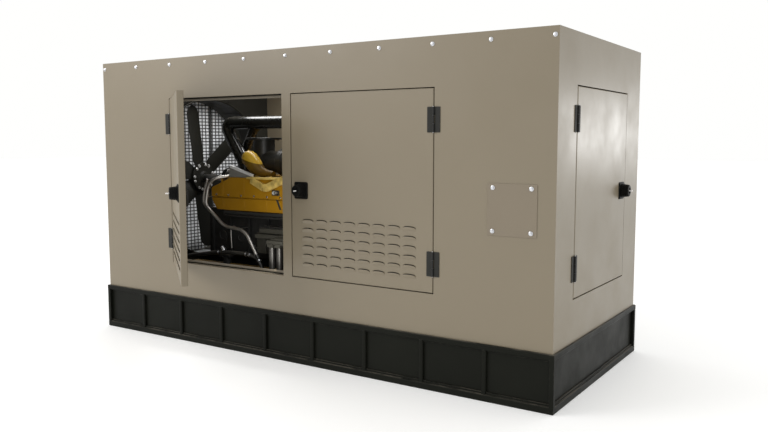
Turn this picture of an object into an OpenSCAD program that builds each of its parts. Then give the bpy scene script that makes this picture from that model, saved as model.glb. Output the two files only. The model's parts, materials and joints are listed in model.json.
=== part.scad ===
// Enclosed standby generator: steel housing on a ribbed base tank, with a radiator-cooled engine and an
// alternator inside. Millimetres, +Z up. X runs along the front, the front wall faces -Y, and the origin
// is the centre of the base's underside. The front left door stands open at rest.

/* [Base tank] */
// Length of the base over its rails
base_l = 4060; // [4050:5:4080]
// Width of the base over its rails
base_w = 1690; // [1680:5:1710]
// Height of the base
base_h = 360; // [340:5:380]
// How far the tank's sides sit back from the rails
base_recess = 24; // [20:1:26]
// Height of the top rail
top_rail_h = 36; // [30:1:45]
// Height of the bottom rail
bottom_rail_h = 44; // [36:1:50]
// Distance from one rib to the next
rib_pitch = 450; // [440:5:460]
// Width of a rib and of a corner post
rib_w = 30; // [20:1:40]

/* [Housing] */
// Length of the housing
house_l = 4030; // [4025:5:4035]
// Width of the housing
house_w = 1655; // [1650:5:1660]
// Height of the roof above the ground
house_top = 2250; // [2240:5:2280]
// Sheet thickness
sheet = 3; // [2:0.5:4]
// Depth of the folded edges
fold = 50; // [50:1:55]
// Distance between roof bolts
roof_bolt_pitch = 398; // [390:1:399]

/* [Doorways] */
// Width of each side doorway
side_open_w = 1170; // [1160:5:1180]
// Width of the post left between a doorway and the middle of the wall
half_post = 40; // [40:1:45]
// Width of the end doorway
end_open_w = 1030; // [1020:5:1040]
// Height of the doorways
open_h = 1308; // [1300:1:1312]
// Height of the sills above the ground
sill_z = 629; // [620:1:640]
// Width of the lip that a door closes against
lip_w = 25; // [20:1:30]

/* [Doors] */
// Gap round a door
gap = 8; // [7:0.5:9]
// Depth of a door's folded edge
door_depth = 42; // [40:1:43]
// Angle at which the front left door stands open
rest_open = 39; // [30:1:60]
// Height of the latches above the ground
latch_z = 1254; // [1230:1:1280]
// Distance from a door's free edge to its latch
latch_inset = 86; // [84:1:92]
// Side of the square latch plate
latch_plate_w = 120; // [110:1:124]
// Height of a hinge
hinge_h = 160; // [150:2:170]
// Width of each hinge leaf, from the pin's axis
leaf_w = 46; // [40:1:50]

/* [Louvres] */
// Louvres in a row
louvre_cols = 8; // [6:1:8]
// Rows of louvres
louvre_rows = 6; // [4:1:6]
// Width of a louvre
louvre_w = 102; // [90:1:105]

/* [Cooling] */
// Tip radius of the fan
fan_r = 660; // [640:5:670]
// Number of fan blades
fan_blades = 6; // [5:1:8]
// Inside radius of the fan shroud
shroud_r = 703; // [700:1:710]

/* [Hidden] */

$fn = 64;
tan_paint = [0.60, 0.55, 0.46];
black_paint = [0.10, 0.10, 0.09];
engine_yellow = [0.78, 0.55, 0.10];
dark_grey = [0.20, 0.20, 0.20];
bare_steel = [0.75, 0.76, 0.78];

wall_x = house_l / 2;                    // outside of the end walls
wall_y = house_w / 2;                    // outside of the front and back walls
wall_top = house_top - sheet;            // underside of the roof sheet
tank_x = base_l / 2 - base_recess;
tank_y = base_w / 2 - base_recess;

// Doors, each drawn in a local frame: hinge axis at the origin, door along +X, outer side towards -Y
axis_out = 8.5;                          // hinge axis proud of the wall
pin_r = 4;
pin_out = 4;                             // how far a pin stands out of its knuckles
running = 0.05;                          // radial clearance of a turning fit
knuckle_r = 8;
leaf_t = 5;
hinge_zs = [822, 1735];
door_x0 = gap / 2;
door_z0 = sill_z + gap;
door_z1 = sill_z + open_h - gap;
spindle_r = 10;
knob_r = 48;
knob_h = 52;
key_r = 5;
key_out = 26;
plate_t = 10;
cam_gap = 3.5;                           // from the lip's back to the cam
cam_t = 6;
cam_reach = 90;
cam_w = 30;

louvre_pitch_x = 119.7;
louvre_pitch_z = 62;
louvre_x0 = 127;                         // hinge axis to the first louvre
louvre_z0 = 739;                         // top edge of the lowest row
louvre_out = 10;
louvre_drop = 28;

cover_x = 1741;                          // service cover
cover_z = 1192;
cover_w = 320;
cover_h = 316;
cover_t = 4;
cover_bolts_x = 248;
cover_bolts_z = 262;

bolt_z = 2200;
bolt_head_r = 14;
bolt_head_h = 10;
bolt_r = 8;
bolt_hole_r = 8.4;

// Engine line
crank_z = 900;
fan_z = 1270;
shaft_r = 40;
fan_shaft_r = 25;
pulley_r = 80;
pulley_x = -1400;
pulley_w = 35;
belt_t = 10;
belt_gap = 0.5;
fan_x = -1745;                           // middle of the blades
fan_hub_r = 110;
blade_chord = 190;
blade_t = 6;
blade_pitch = 12;
fan_phase = 12.6;
bulkhead_x = -1660;
block_x = [-1300, 100];
block_y = 330;
block_z = [640, 1033];
cover_top_z = 1305;
filler_r = 45;
filler_pos = [1500, 620];
skid_x = [-1500, 1350];
skid_y = 330;
skid_w = 80;
skid_t = 12;
skid_top = 560;

ball_extra = 1.5;                        // ball fittings stand this much proud of their pipe

module box(lo, hi) { translate(lo) cube(hi - lo); }

// Rod from a to b
module rod(a, b, r) {
    d = b - a;
    translate(a) rotate([0, acos(d[2] / norm(d)), atan2(d[1], d[0])]) cylinder(h = norm(d), r = r);
}

// Pipe of radius r along points, with a ball fitting at each corner
module pipe(points, r) {
    n = len(points) - 1;
    for (i = [0 : n - 1]) rod(points[i], points[i + 1], r);
    for (i = [1 : n - 1]) translate(points[i]) sphere(r + ball_extra);
}

// Cylinder along X
module drum(x0, x1, r, y = 0, z = 0) {
    translate([x0, y, z]) rotate([0, 90, 0]) cylinder(h = x1 - x0, r = r);
}

// ---------------------------------------------------------------- base

module base_tank() color(black_paint) {
    wall = 6;
    difference() {
        box([-tank_x, -tank_y, 0], [tank_x, tank_y, base_h]);
        box([-tank_x + wall, -tank_y + wall, wall], [tank_x - wall, tank_y - wall, base_h - wall]);
        translate([filler_pos[0], filler_pos[1], base_h - wall - 1]) cylinder(h = wall + 2, r = filler_r - wall);
    }
    translate([filler_pos[0], filler_pos[1], base_h]) difference() {
        cylinder(h = 60, r = filler_r);
        translate([0, 0, -1]) cylinder(h = 62, r = filler_r - wall);
    }
}

module rail_ring(z0, z1) difference() {
    box([-base_l / 2, -base_w / 2, z0], [base_l / 2, base_w / 2, z1]);
    box([-tank_x, -tank_y, z0 - 1], [tank_x, tank_y, z1 + 1]);
}

module base_frame() color(black_paint) {
    rib_d = base_recess - 4;
    rail_ring(0, bottom_rail_h);
    rail_ring(base_h - top_rail_h, base_h);
    for (side = [-1, 1]) {
        for (i = [-4 : 3]) translate([(i + 0.5) * rib_pitch, side * (tank_y + rib_d / 2), base_h / 2])
            cube([rib_w, rib_d, base_h - 20], center = true);
        for (end = [-1, 1]) {
            translate([end * (base_l - rib_w) / 2, side * (base_w - base_recess) / 2, base_h / 2])
                cube([rib_w, base_recess, base_h - 2], center = true);
            translate([end * (base_l - base_recess) / 2, side * (base_w - rib_w) / 2, base_h / 2])
                cube([base_recess, rib_w, base_h - 2], center = true);
        }
    }
}

// Two channels, open outwards
module skid_rails() color([0.45, 0.32, 0.08]) for (side = [0, 1]) mirror([0, side, 0]) difference() {
    box([skid_x[0], skid_y - skid_w / 2, base_h], [skid_x[1], skid_y + skid_w / 2, skid_top]);
    box([skid_x[0] - 1, skid_y - skid_w / 2 + skid_t, base_h + skid_t],
        [skid_x[1] + 1, skid_y + skid_w / 2 + 1, skid_top - skid_t]);
}

// ---------------------------------------------------------------- walls

// Folded frame round a doorway in a wall whose outer side is y = 0 and faces -Y
module doorway_frame(x0, x1, z0, z1) {
    difference() {
        box([x0 - sheet, 0, z0 - sheet], [x1 + sheet, fold + sheet, z1 + sheet]);
        box([x0, -1, z0], [x1, fold, z1]);
        box([x0 + lip_w, -1, z0 + lip_w], [x1 - lip_w, fold + sheet + 1, z1 - lip_w]);
    }
}

module roof_bolt_holes() for (i = [-5 : 5])
    translate([i * roof_bolt_pitch, -1, bolt_z]) rotate([-90, 0, 0]) cylinder(h = fold + 2, r = bolt_hole_r);

// Long wall, outer side at y = 0
module long_wall(with_service) {
    x = wall_x - sheet;
    z1 = sill_z + open_h;
    difference() {
        union() {
            box([-x, 0, base_h], [x, sheet, wall_top]);
            box([-x, 0, base_h], [x, fold, base_h + sheet]);
            for (side = [-1, 1]) translate([side * (x - sheet / 2), 0, 0])
                box([-sheet / 2, 0, base_h], [sheet / 2, fold, wall_top - 80]);
        }
        for (x0 = [half_post, -half_post - side_open_w])
            box([x0, -1, sill_z], [x0 + side_open_w, fold, z1]);
        roof_bolt_holes();
        if (with_service) {
            box([cover_x - 100, -1, cover_z - 100], [cover_x + 100, sheet + 1, cover_z + 100]);
            service_bolt_places() rotate([-90, 0, 0]) cylinder(h = fold, r = bolt_hole_r, center = true);
        }
    }
    for (x0 = [half_post, -half_post - side_open_w]) doorway_frame(x0, x0 + side_open_w, sill_z, z1);
}

module service_bolt_places() for (sx = [-1, 1], sz = [-1, 1])
    translate([cover_x + sx * cover_bolts_x / 2, 0, cover_z + sz * cover_bolts_z / 2]) children();

module front_panel() color(tan_paint) translate([0, -wall_y, 0]) long_wall(true);
module back_panel() color(tan_paint) mirror([0, 1, 0]) translate([0, -wall_y, 0]) long_wall(false);

// Plain end sheet, x from 0 to the sheet's thickness
module end_sheet() translate([0, -wall_y, base_h]) cube([sheet, house_w, wall_top - base_h]);

module right_end_panel() color(tan_paint) translate([wall_x, 0, 0]) {
    difference() {
        translate([-sheet, 0, 0]) end_sheet();
        box([-fold, -end_open_w / 2, sill_z], [1, end_open_w / 2, sill_z + open_h]);
    }
    rotate([0, 0, 90]) doorway_frame(-end_open_w / 2, end_open_w / 2, sill_z, sill_z + open_h);
}

grille_half = 700;
module left_end_panel() color(tan_paint) difference() {
    translate([-wall_x, 0, 0]) end_sheet();
    box([-wall_x - 1, -grille_half, fan_z - grille_half], [-wall_x + fold, grille_half, fan_z + grille_half]);
}

module discharge_grille() color(black_paint) {
    t = 20;
    x0 = -wall_x + sheet;
    difference() {
        box([x0, -grille_half - 30, fan_z - grille_half - 30], [x0 + t, grille_half + 30, fan_z + grille_half + 30]);
        box([x0 - 1, -grille_half + 10, fan_z - grille_half + 10],
            [x0 + t + 1, grille_half - 10, fan_z + grille_half - 10]);
    }
    for (z = [fan_z - 630 : 70 : fan_z + 630]) translate([x0 + t / 2, 0, z])
        cube([t - 4, 2 * grille_half, 8], center = true);
    for (y = [-350, 0, 350]) translate([x0 + t / 2, y, fan_z]) cube([t - 8, 12, 2 * grille_half], center = true);
}

module roof_panel() color(tan_paint) {
    flange = 90;
    difference() {
        union() {
            box([-wall_x, -wall_y, wall_top], [wall_x, wall_y, house_top]);
            for (side = [0, 1]) mirror([0, side, 0]) translate([0, -wall_y + sheet, 0])
                box([-wall_x + 2 * sheet, 0, wall_top - flange], [wall_x - 2 * sheet, sheet, wall_top]);
        }
        for (side = [0, 1]) mirror([0, side, 0]) translate([0, -wall_y, 0]) roof_bolt_holes();
        translate([outlet_x, outlet_y, wall_top - 1]) cylinder(h = sheet + 2, r = outlet_r + 4);
    }
}

// Bolt with its head towards -Y, seated on y = 0
module wall_bolt() rotate([90, 0, 0]) {
    cylinder(h = bolt_head_h, r = bolt_head_r);
    translate([0, 0, -14]) cylinder(h = 15, r = bolt_r);
}

module panel_bolts() color(bare_steel) {
    for (side = [0, 1]) mirror([0, side, 0]) for (i = [-5 : 5])
        translate([i * roof_bolt_pitch, -wall_y, bolt_z]) wall_bolt();
    translate([0, -wall_y - cover_t, 0]) service_bolt_places() wall_bolt();
}

module service_cover() color([0.50, 0.46, 0.38]) difference() {
    box([cover_x - cover_w / 2, -wall_y - cover_t, cover_z - cover_h / 2],
        [cover_x + cover_w / 2, -wall_y, cover_z + cover_h / 2]);
    translate([0, -wall_y, 0]) service_bolt_places()
        rotate([90, 0, 0]) cylinder(h = 30, r = bolt_hole_r, center = true);
}

// ---------------------------------------------------------------- doors

// Places: name, hinge axis in plan, mirrored or not, turn, opening width
module place(which, opened = true) {
    if (which == "front_left")
        translate([-half_post - side_open_w + gap / 2, -wall_y - axis_out, 0])
            rotate([0, 0, opened ? -rest_open : 0]) children();
    if (which == "front_right")
        translate([half_post + side_open_w - gap / 2, -wall_y - axis_out, 0]) mirror([1, 0, 0]) children();
    if (which == "end")
        translate([wall_x + axis_out, -end_open_w / 2 + gap / 2, 0]) rotate([0, 0, 90]) children();
    if (which == "back_left")
        translate([-half_post - side_open_w + gap / 2, wall_y + axis_out, 0]) mirror([0, 1, 0]) children();
    if (which == "back_right")
        translate([half_post + side_open_w - gap / 2, wall_y + axis_out, 0]) rotate([0, 0, 180]) children();
}

PLACES = ["front_left", "front_right", "end", "back_left", "back_right"];
function open_w(which) = which == "end" ? end_open_w : side_open_w;
function latch_x(w) = w - 1.5 * gap - latch_inset;

module louvres(cut) {
    for (i = [0 : louvre_cols - 1], j = [0 : louvre_rows - 1])
        translate([louvre_x0 + i * louvre_pitch_x, axis_out, louvre_z0 + j * louvre_pitch_z])
            if (cut) translate([6, -1, -8]) cube([louvre_w - 12, sheet + 2, 6]);
            else rotate([90, 0, 90]) linear_extrude(louvre_w)
                polygon([[0.5, 0], [-louvre_out, 0], [-louvre_out, -3], [0.5, -louvre_drop]]);
}

// Door shell, folded from sheet and open towards the inside
module door(w, louvred) color(tan_paint) difference() {
    x1 = w - 1.5 * gap;
    union() {
        difference() {
            box([door_x0, axis_out, door_z0], [x1, axis_out + door_depth, door_z1]);
            box([door_x0 + sheet, axis_out + sheet, door_z0 + sheet],
                [x1 - sheet, axis_out + door_depth + 1, door_z1 - sheet]);
        }
        if (louvred) louvres(false);
    }
    if (louvred) louvres(true);
    translate([latch_x(w), 0, latch_z]) rotate([-90, 0, 0])
        cylinder(h = axis_out + sheet + 1, r = spindle_r + running);
}

module knuckle(z, h) translate([0, 0, z]) difference() {
    union() {
        cylinder(h = h, r = knuckle_r);
        translate([0, leaf_front, 0]) cube([leaf_start + 1, leaf_t - 0.5, h]);
    }
    translate([0, 0, -1]) cylinder(h = h + 2, r = pin_r + running);
}

leaf_front = axis_out - leaf_t;
leaf_start = knuckle_r + 2;
knuckle_gap = 0.5;

module leaf(moving) for (z = hinge_zs) {
    third = hinge_h / 3;
    box([leaf_start, leaf_front, z - hinge_h / 2], [leaf_w, axis_out, z + hinge_h / 2]);
    if (moving) knuckle(z - third / 2 + knuckle_gap, third - 2 * knuckle_gap);
    else for (s = [-1, 1]) knuckle(z + s * third - third / 2, third);
}

module frame_hinge_leaves() color(dark_grey)
    for (which = PLACES) place(which, false) mirror([1, 0, 0]) leaf(false);

module hinge_pins() color(bare_steel) for (which = PLACES) place(which, false)
    for (z = hinge_zs) translate([0, 0, z - hinge_h / 2 - pin_out]) cylinder(h = hinge_h + 2 * pin_out, r = pin_r);

module door_seals() color([0.05, 0.05, 0.05]) for (which = PLACES) place(which, false) {
    x0 = -gap / 2;
    x1 = open_w(which) - gap / 2;
    difference() {
        box([x0, axis_out + door_depth + 0.5, sill_z], [x1, axis_out + fold, sill_z + open_h]);
        box([x0 + 20, 0, sill_z + 20], [x1 - 20, 100, sill_z + open_h - 20]);
    }
}

module latch_plate(w) color([0.06, 0.06, 0.06]) translate([latch_x(w), axis_out, latch_z]) rotate([90, 0, 0])
    difference() {
        r = 14;
        h = latch_plate_w / 2;
        union() {
            box([-h + r, -h, 0], [h - r, h, plate_t]);
            box([-h, -h + r, 0], [h, h - r, plate_t]);
            for (sx = [-1, 1], sy = [-1, 1]) translate([sx * (h - r), sy * (h - r), 0])
                cylinder(h = plate_t, r = r);
        }
        translate([0, 0, -1]) cylinder(h = plate_t + 2, r = spindle_r + running);
    }

// Turning knob with its key outside, and its spindle and cam inside. The cam hangs straight down at rest.
module knob(w) color([0.05, 0.05, 0.05]) translate([latch_x(w), axis_out, latch_z]) {
    cam_y = fold + sheet + cam_gap;
    rotate([90, 0, 0]) {
        translate([0, 0, plate_t + 0.3]) cylinder(h = 8, r = knob_r);
        translate([0, 0, plate_t + 8]) cylinder(h = knob_h - 8, r1 = knob_r - 2, r2 = knob_r - 8);
        translate([0, 0, plate_t + knob_h - 1]) cylinder(h = key_out + 1, r = key_r);
        translate([0, 0, -cam_y - cam_t]) cylinder(h = cam_y + cam_t + plate_t + 1, r = spindle_r);
    }
    box([-cam_w / 2, cam_y, -cam_reach], [cam_w / 2, cam_y + cam_t, 16]);
}

module door_front_left() place("front_left") door(side_open_w, true);
module door_front_left_leaves() color(dark_grey) place("front_left") leaf(true);
module door_front_left_latch_plate() place("front_left") latch_plate(side_open_w);
module door_front_left_knob() place("front_left") knob(side_open_w);
module door_front_right() place("front_right") door(side_open_w, true);
module door_front_right_leaves() color(dark_grey) place("front_right") leaf(true);
module door_front_right_latch_plate() place("front_right") latch_plate(side_open_w);
module door_front_right_knob() place("front_right") knob(side_open_w);
module door_end() place("end") door(end_open_w, false);
module door_end_leaves() color(dark_grey) place("end") leaf(true);
module door_end_latch_plate() place("end") latch_plate(end_open_w);
module door_end_knob() place("end") knob(end_open_w);
module door_back_left() place("back_left") door(side_open_w, true);
module door_back_left_leaves() color(dark_grey) place("back_left") leaf(true);
module door_back_left_latch_plate() place("back_left") latch_plate(side_open_w);
module door_back_left_knob() place("back_left") knob(side_open_w);
module door_back_right() place("back_right") door(side_open_w, true);
module door_back_right_leaves() color(dark_grey) place("back_right") leaf(true);
module door_back_right_latch_plate() place("back_right") latch_plate(side_open_w);
module door_back_right_knob() place("back_right") knob(side_open_w);

// ---------------------------------------------------------------- cooling

core_x = [-1960, -1890];
core_half = 700;
tank_side = 730;

module radiator_core() color([0.80, 0.81, 0.82])
    box([core_x[0], -core_half, fan_z - core_half], [core_x[1], core_half, fan_z + core_half]);

module radiator_frame() color(black_paint) {
    for (z0 = [fan_z - core_half - 140, fan_z + core_half])
        box([core_x[0] - 10, -tank_side, z0], [core_x[1] + 10, tank_side, z0 + 140]);
    for (side = [-1, 1]) translate([0, side * (core_half + tank_side) / 2, 0])
        box([core_x[0], -(tank_side - core_half) / 2, fan_z - core_half],
            [core_x[1], (tank_side - core_half) / 2, fan_z + core_half]);
    for (side = [-1, 1]) box([core_x[0], side * 600 - 40, base_h], [core_x[1], side * 600 + 40, fan_z - core_half - 140]);
}

hose_hole = [-450, 553];

module fan_shroud() color(dark_grey) {
    back_x = core_x[1] + 14;
    ring_t = 8;
    difference() {
        union() {
            drum(back_x, -1600, shroud_r + ring_t, 0, fan_z);
            box([back_x - 3, -tank_side, fan_z - tank_side], [back_x, tank_side, fan_z + tank_side]);
            box([bulkhead_x, -wall_y + 5, base_h + 4], [bulkhead_x + sheet, wall_y - 5, wall_top - 95]);
        }
        drum(back_x - 5, -1590, shroud_r, 0, fan_z);
        drum(bulkhead_x - 5, bulkhead_x + 10, 24, hose_hole[0], hose_hole[1]);
    }
}

module fan_blade() {
    tip = fan_r - blade_chord / 2;
    rotate([0, 0, blade_pitch]) translate([-blade_t / 2, 0, 0]) {
        translate([0, -blade_chord / 2, 80]) cube([blade_t, blade_chord, tip - 80]);
        translate([0, 0, tip]) rotate([0, 90, 0]) cylinder(h = blade_t, r = blade_chord / 2);
    }
}

// Fan with its hub, shaft and pulley, carried by the bracket on the engine
module fan() color(black_paint) {
    translate([fan_x, 0, fan_z]) {
        for (k = [0 : fan_blades - 1]) rotate([fan_phase + k * 360 / fan_blades, 0, 0]) fan_blade();
        drum(-30, 40, fan_hub_r);
    }
    drum(fan_x, -1285, fan_shaft_r, 0, fan_z);
    drum(pulley_x, pulley_x + pulley_w, pulley_r, 0, fan_z);
}

module belt_outline(r) {
    translate([0, crank_z]) circle(r);
    translate([0, fan_z]) circle(r);
    translate([-r, crank_z]) square([2 * r, fan_z - crank_z]);
}

module fan_belt() color([0.04, 0.04, 0.04]) translate([pulley_x + 2, 0, 0]) rotate([90, 0, 90])
    linear_extrude(pulley_w - 4) difference() {
        belt_outline(pulley_r + belt_gap + belt_t);
        belt_outline(pulley_r + belt_gap);
    }

module crank_pulley() color(dark_grey) difference() {
    drum(pulley_x, pulley_x + pulley_w, pulley_r, 0, crank_z);
    drum(pulley_x - 1, pulley_x + pulley_w + 1, shaft_r, 0, crank_z);
}

module drive_shaft() color(bare_steel) drum(pulley_x - 6, 1010, shaft_r, 0, crank_z);

// ---------------------------------------------------------------- engine

module engine_block() color(black_paint) difference() {
    union() {
        box([block_x[0], -block_y, block_z[0]], [block_x[1], block_y, block_z[1]]);
        // fan bracket on the front face
        box([block_x[0] - 30, -70, crank_z + 95], [block_x[0], 70, fan_z]);
        drum(block_x[0] - 45, block_x[0] + 10, 60, 0, fan_z);
        // ledges under the head covers
        for (side = [-1, 1]) box([-1050, side * 365 - 45, 975], [60, side * 365 + 45, block_z[1]]);
        // accessory shelf on the front side
        box([-640, -420, 880], [-200, -block_y, 915]);
    }
    drum(block_x[0] - 60, block_x[1] + 1, shaft_r + running, 0, crank_z);
    drum(block_x[0] - 60, block_x[0] + 40, fan_shaft_r + running, 0, fan_z);
}

module head_cover() color(engine_yellow) translate([0, 450, 0]) rotate([90, 0, 0]) linear_extrude(900)
    polygon([[-1100, block_z[1]], [60, block_z[1]], [60, cover_top_z], [-930, cover_top_z],
             [-1155, 1212], [-1160, 1140]]);

module oil_pan() color(black_paint) translate([0, 200, 0]) rotate([90, 0, 0]) linear_extrude(400)
    polygon([[-1200, block_z[0]], [40, block_z[0]], [40, 590], [-300, 590], [-420, 480], [-1120, 480], [-1200, 560]]);

module coolant_pipes() color(bare_steel) {
    pipe([[-930, -300, 1320], [-1050, -505, 1300], [-1128, -505, 1240], [-1165, -505, 1070],
          [-950, -505, 905], [-760, -505, 888], [-695, -505, 846], [-600, -505, 690]], 12);
    pipe([[-1150, -500, 1285], [-1180, -500, 1200], [-1205, -500, 1075], [-1195, -460, 900]], 11);
}

module lower_hose() color([0.07, 0.07, 0.07]) {
    pipe([[-700, -500, 690], [-990, -500, 690], [-1450, hose_hole[0], 612], [core_x[1] + 16, hose_hole[0], 492]],
         18);
    pipe([[-700, -500, 690], [-600, -500, 668], [-548, -500, 600], [-548, -470, 480],
          [-548, -skid_y + skid_w / 2 - skid_t, 480]], 14);
}

module fuel_filters() color([0.45, 0.45, 0.46]) {
    for (x = [-352, -276]) translate([x, -600, 545]) cylinder(h = 246, r = 25);
    box([-400, -640, 790], [-225, -425, 835]);
    box([-360, -500, 835], [-260, -425, 879]);
    box([-360, -425, 790], [-260, -block_y, 878]);
}

module compressor_housing() color(engine_yellow) {
    inlet = [-790, -370, 1452];
    outlet = [-590, -350, 1358];
    hull() {
        translate(inlet) sphere(84, $fn = 32);
        translate(outlet) sphere(52, $fn = 32);
    }
    translate([inlet[0], inlet[1], cover_top_z]) cylinder(h = 100, r = 66);
    translate([outlet[0], outlet[1], cover_top_z]) cylinder(h = 30, r = 40);
}

module flanged_elbow() color([0.07, 0.07, 0.07]) {
    a = [-870, -100, 1630];
    translate([a[0], a[1], a[2] - 18]) cylinder(h = 18, r = 157);
    pipe([[a[0], a[1], a[2] - 10], [a[0], a[1], 1425], [-655, a[1], 1425]], 93);
    drum(-660, -470, 115, a[1], 1425);
    box([-620, a[1] - 60, cover_top_z], [-500, a[1] + 60, 1350]);
}

module charge_air_pipe() color(black_paint)
    pipe([[-250, -100, 1760], [-1335, -100, 1760], [-1090, -100, 1400], [-1090, -100, cover_top_z]], 55);

module air_cleaner() color([0.12, 0.12, 0.12]) {
    drum(-250, 350, 150, -100, 1760);
    for (x = [-120, 10]) box([x, -140, cover_top_z], [x + 30, -60, 1640]);
}

outlet_x = 1250;
outlet_y = 250;
outlet_r = 57.15;                        // stub that the rain cap or stack clamps to
outlet_h = 70;
outlet_top = 2310;
riser_r = 52;
silencer_z = 1980;

module silencer() color([0.35, 0.34, 0.33]) {
    drum(500, 1400, 150, outlet_y, silencer_z);
    translate([outlet_x, outlet_y, 0]) difference() {
        union() {
            translate([0, 0, silencer_z]) cylinder(h = outlet_top - outlet_h - silencer_z, r = riser_r);
            translate([0, 0, outlet_top - outlet_h]) cylinder(h = outlet_h, r = outlet_r);
        }
        translate([0, 0, silencer_z + 160]) cylinder(h = 200, r = riser_r - sheet);
    }
    pipe([[-470, -100, 1425], [-370, -100, 1425], [-190, outlet_y, 1500], [100, outlet_y, silencer_z],
          [510, outlet_y, silencer_z]], 46);
    for (x = [650, 1050]) box([x, outlet_y - 30, silencer_z + 120], [x + 40, outlet_y + 30, wall_top]);
}

// ---------------------------------------------------------------- alternator

rotor_r = 200;

module alternator() color([0.16, 0.16, 0.15]) difference() {
    union() {
        drum(block_x[1], 180, 300, 0, crank_z);
        drum(180, 1000, 260, 0, crank_z);
        for (side = [-1, 1]) box([220, side * 300 - 70, block_z[0]], [960, side * 300 + 70, 700]);
        for (side = [-1, 1]) box([220, side * 215 - 45, 660], [960, side * 215 + 45, 780]);
        box([420, -190, crank_z + 200], [820, 190, 1330]);
    }
    drum(200, 970, rotor_r + 5, 0, crank_z);
    drum(block_x[1] - 1, 1001, shaft_r + running, 0, crank_z);
}

module alternator_rotor() color([0.55, 0.35, 0.20]) difference() {
    drum(210, 960, rotor_r, 0, crank_z);
    drum(200, 970, shaft_r, 0, crank_z);
}

module engine_mounts() color([0.05, 0.05, 0.05])
    for (x = [-1100, -100, 320, 860], side = [-1, 1]) translate([x, side * skid_y, skid_top]) {
        cylinder(h = 60, r = 36);
        translate([-60, -36, 60]) cube([120, 72, block_z[0] - skid_top - 60]);
    }

// ---------------------------------------------------------------- controls

face_x = 1890;
estop_pos = [-250, 1250];
estop_stem_r = 11;
breaker_pos = [180, 1250];
breaker_out = 17;                        // handle's axis, from the face
trunnion_r = 4;
trunnion_l = 60;

module control_box() color([0.30, 0.30, 0.29]) {
    difference() {
        box([1600, -400, 1000], [face_x, 400, 1750]);
        box([1603, -397, 1003], [face_x + 1, 397, 1747]);
    }
    for (side = [-1, 1]) box([1640, side * 340 - 25, base_h], [1690, side * 340 + 25, 1000]);
}

module control_face() color([0.22, 0.22, 0.22]) difference() {
    union() {
        box([face_x, -400, 1000], [face_x + 3, 400, 1750]);
        box([face_x, -330, 1430], [face_x + 12, -70, 1640]);
        difference() {
            box([face_x, breaker_pos[0] - 70, 1130], [face_x + 25, breaker_pos[0] + 70, 1370]);
            box([face_x + 5, breaker_pos[0] - 16, 1190], [face_x + 26, breaker_pos[0] + 16, 1310]);
            translate([face_x + breaker_out, breaker_pos[0], breaker_pos[1]]) rotate([90, 0, 0])
                cylinder(h = trunnion_l + 2, r = trunnion_r + running, center = true);
        }
    }
    drum(face_x - 1, face_x + 4, estop_stem_r + running, estop_pos[0], estop_pos[1]);
}

module estop_button() color([0.75, 0.08, 0.06]) {
    drum(face_x - 12, face_x + 16, estop_stem_r, estop_pos[0], estop_pos[1]);
    drum(face_x + 14, face_x + 28, 20, estop_pos[0], estop_pos[1]);
}

module breaker_handle() color([0.05, 0.05, 0.05]) translate([face_x + breaker_out, breaker_pos[0], breaker_pos[1]]) {
    rotate([90, 0, 0]) cylinder(h = 28, r = 10, center = true);
    rotate([90, 0, 0]) cylinder(h = trunnion_l, r = trunnion_r, center = true);
    rotate([0, 25, 0]) translate([0, -10, -6]) cube([36, 20, 12]);
}

module battery() color([0.09, 0.09, 0.10]) {
    for (x0 = [640, 900]) {
        box([x0, -690, base_h + 8], [x0 + 240, -510, base_h + 218]);
        for (dx = [40, 200]) translate([x0 + dx, -550, base_h + 218]) cylinder(h = 18, r = 9);
    }
    difference() {
        box([630, -700, base_h], [1150, -500, base_h + 60]);
        box([634, -696, base_h + 8], [1146, -504, base_h + 61]);
    }
}

base_tank();
base_frame();
front_panel();
back_panel();
left_end_panel();
right_end_panel();
roof_panel();
panel_bolts();
service_cover();
discharge_grille();
frame_hinge_leaves();
hinge_pins();
door_seals();
door_front_left();
door_front_left_leaves();
door_front_left_latch_plate();
door_front_left_knob();
door_front_right();
door_front_right_leaves();
door_front_right_latch_plate();
door_front_right_knob();
door_end();
door_end_leaves();
door_end_latch_plate();
door_end_knob();
door_back_left();
door_back_left_leaves();
door_back_left_latch_plate();
door_back_left_knob();
door_back_right();
door_back_right_leaves();
door_back_right_latch_plate();
door_back_right_knob();
radiator_frame();
radiator_core();
fan_shroud();
fan();
fan_belt();
crank_pulley();
drive_shaft();
engine_block();
head_cover();
oil_pan();
coolant_pipes();
lower_hose();
fuel_filters();
compressor_housing();
flanged_elbow();
charge_air_pipe();
air_cleaner();
silencer();
alternator();
alternator_rotor();
skid_rails();
engine_mounts();
control_box();
control_face();
estop_button();
breaker_handle();
battery();
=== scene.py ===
import json
import math
import bmesh
import bpy
from mathutils import Matrix, Vector


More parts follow.
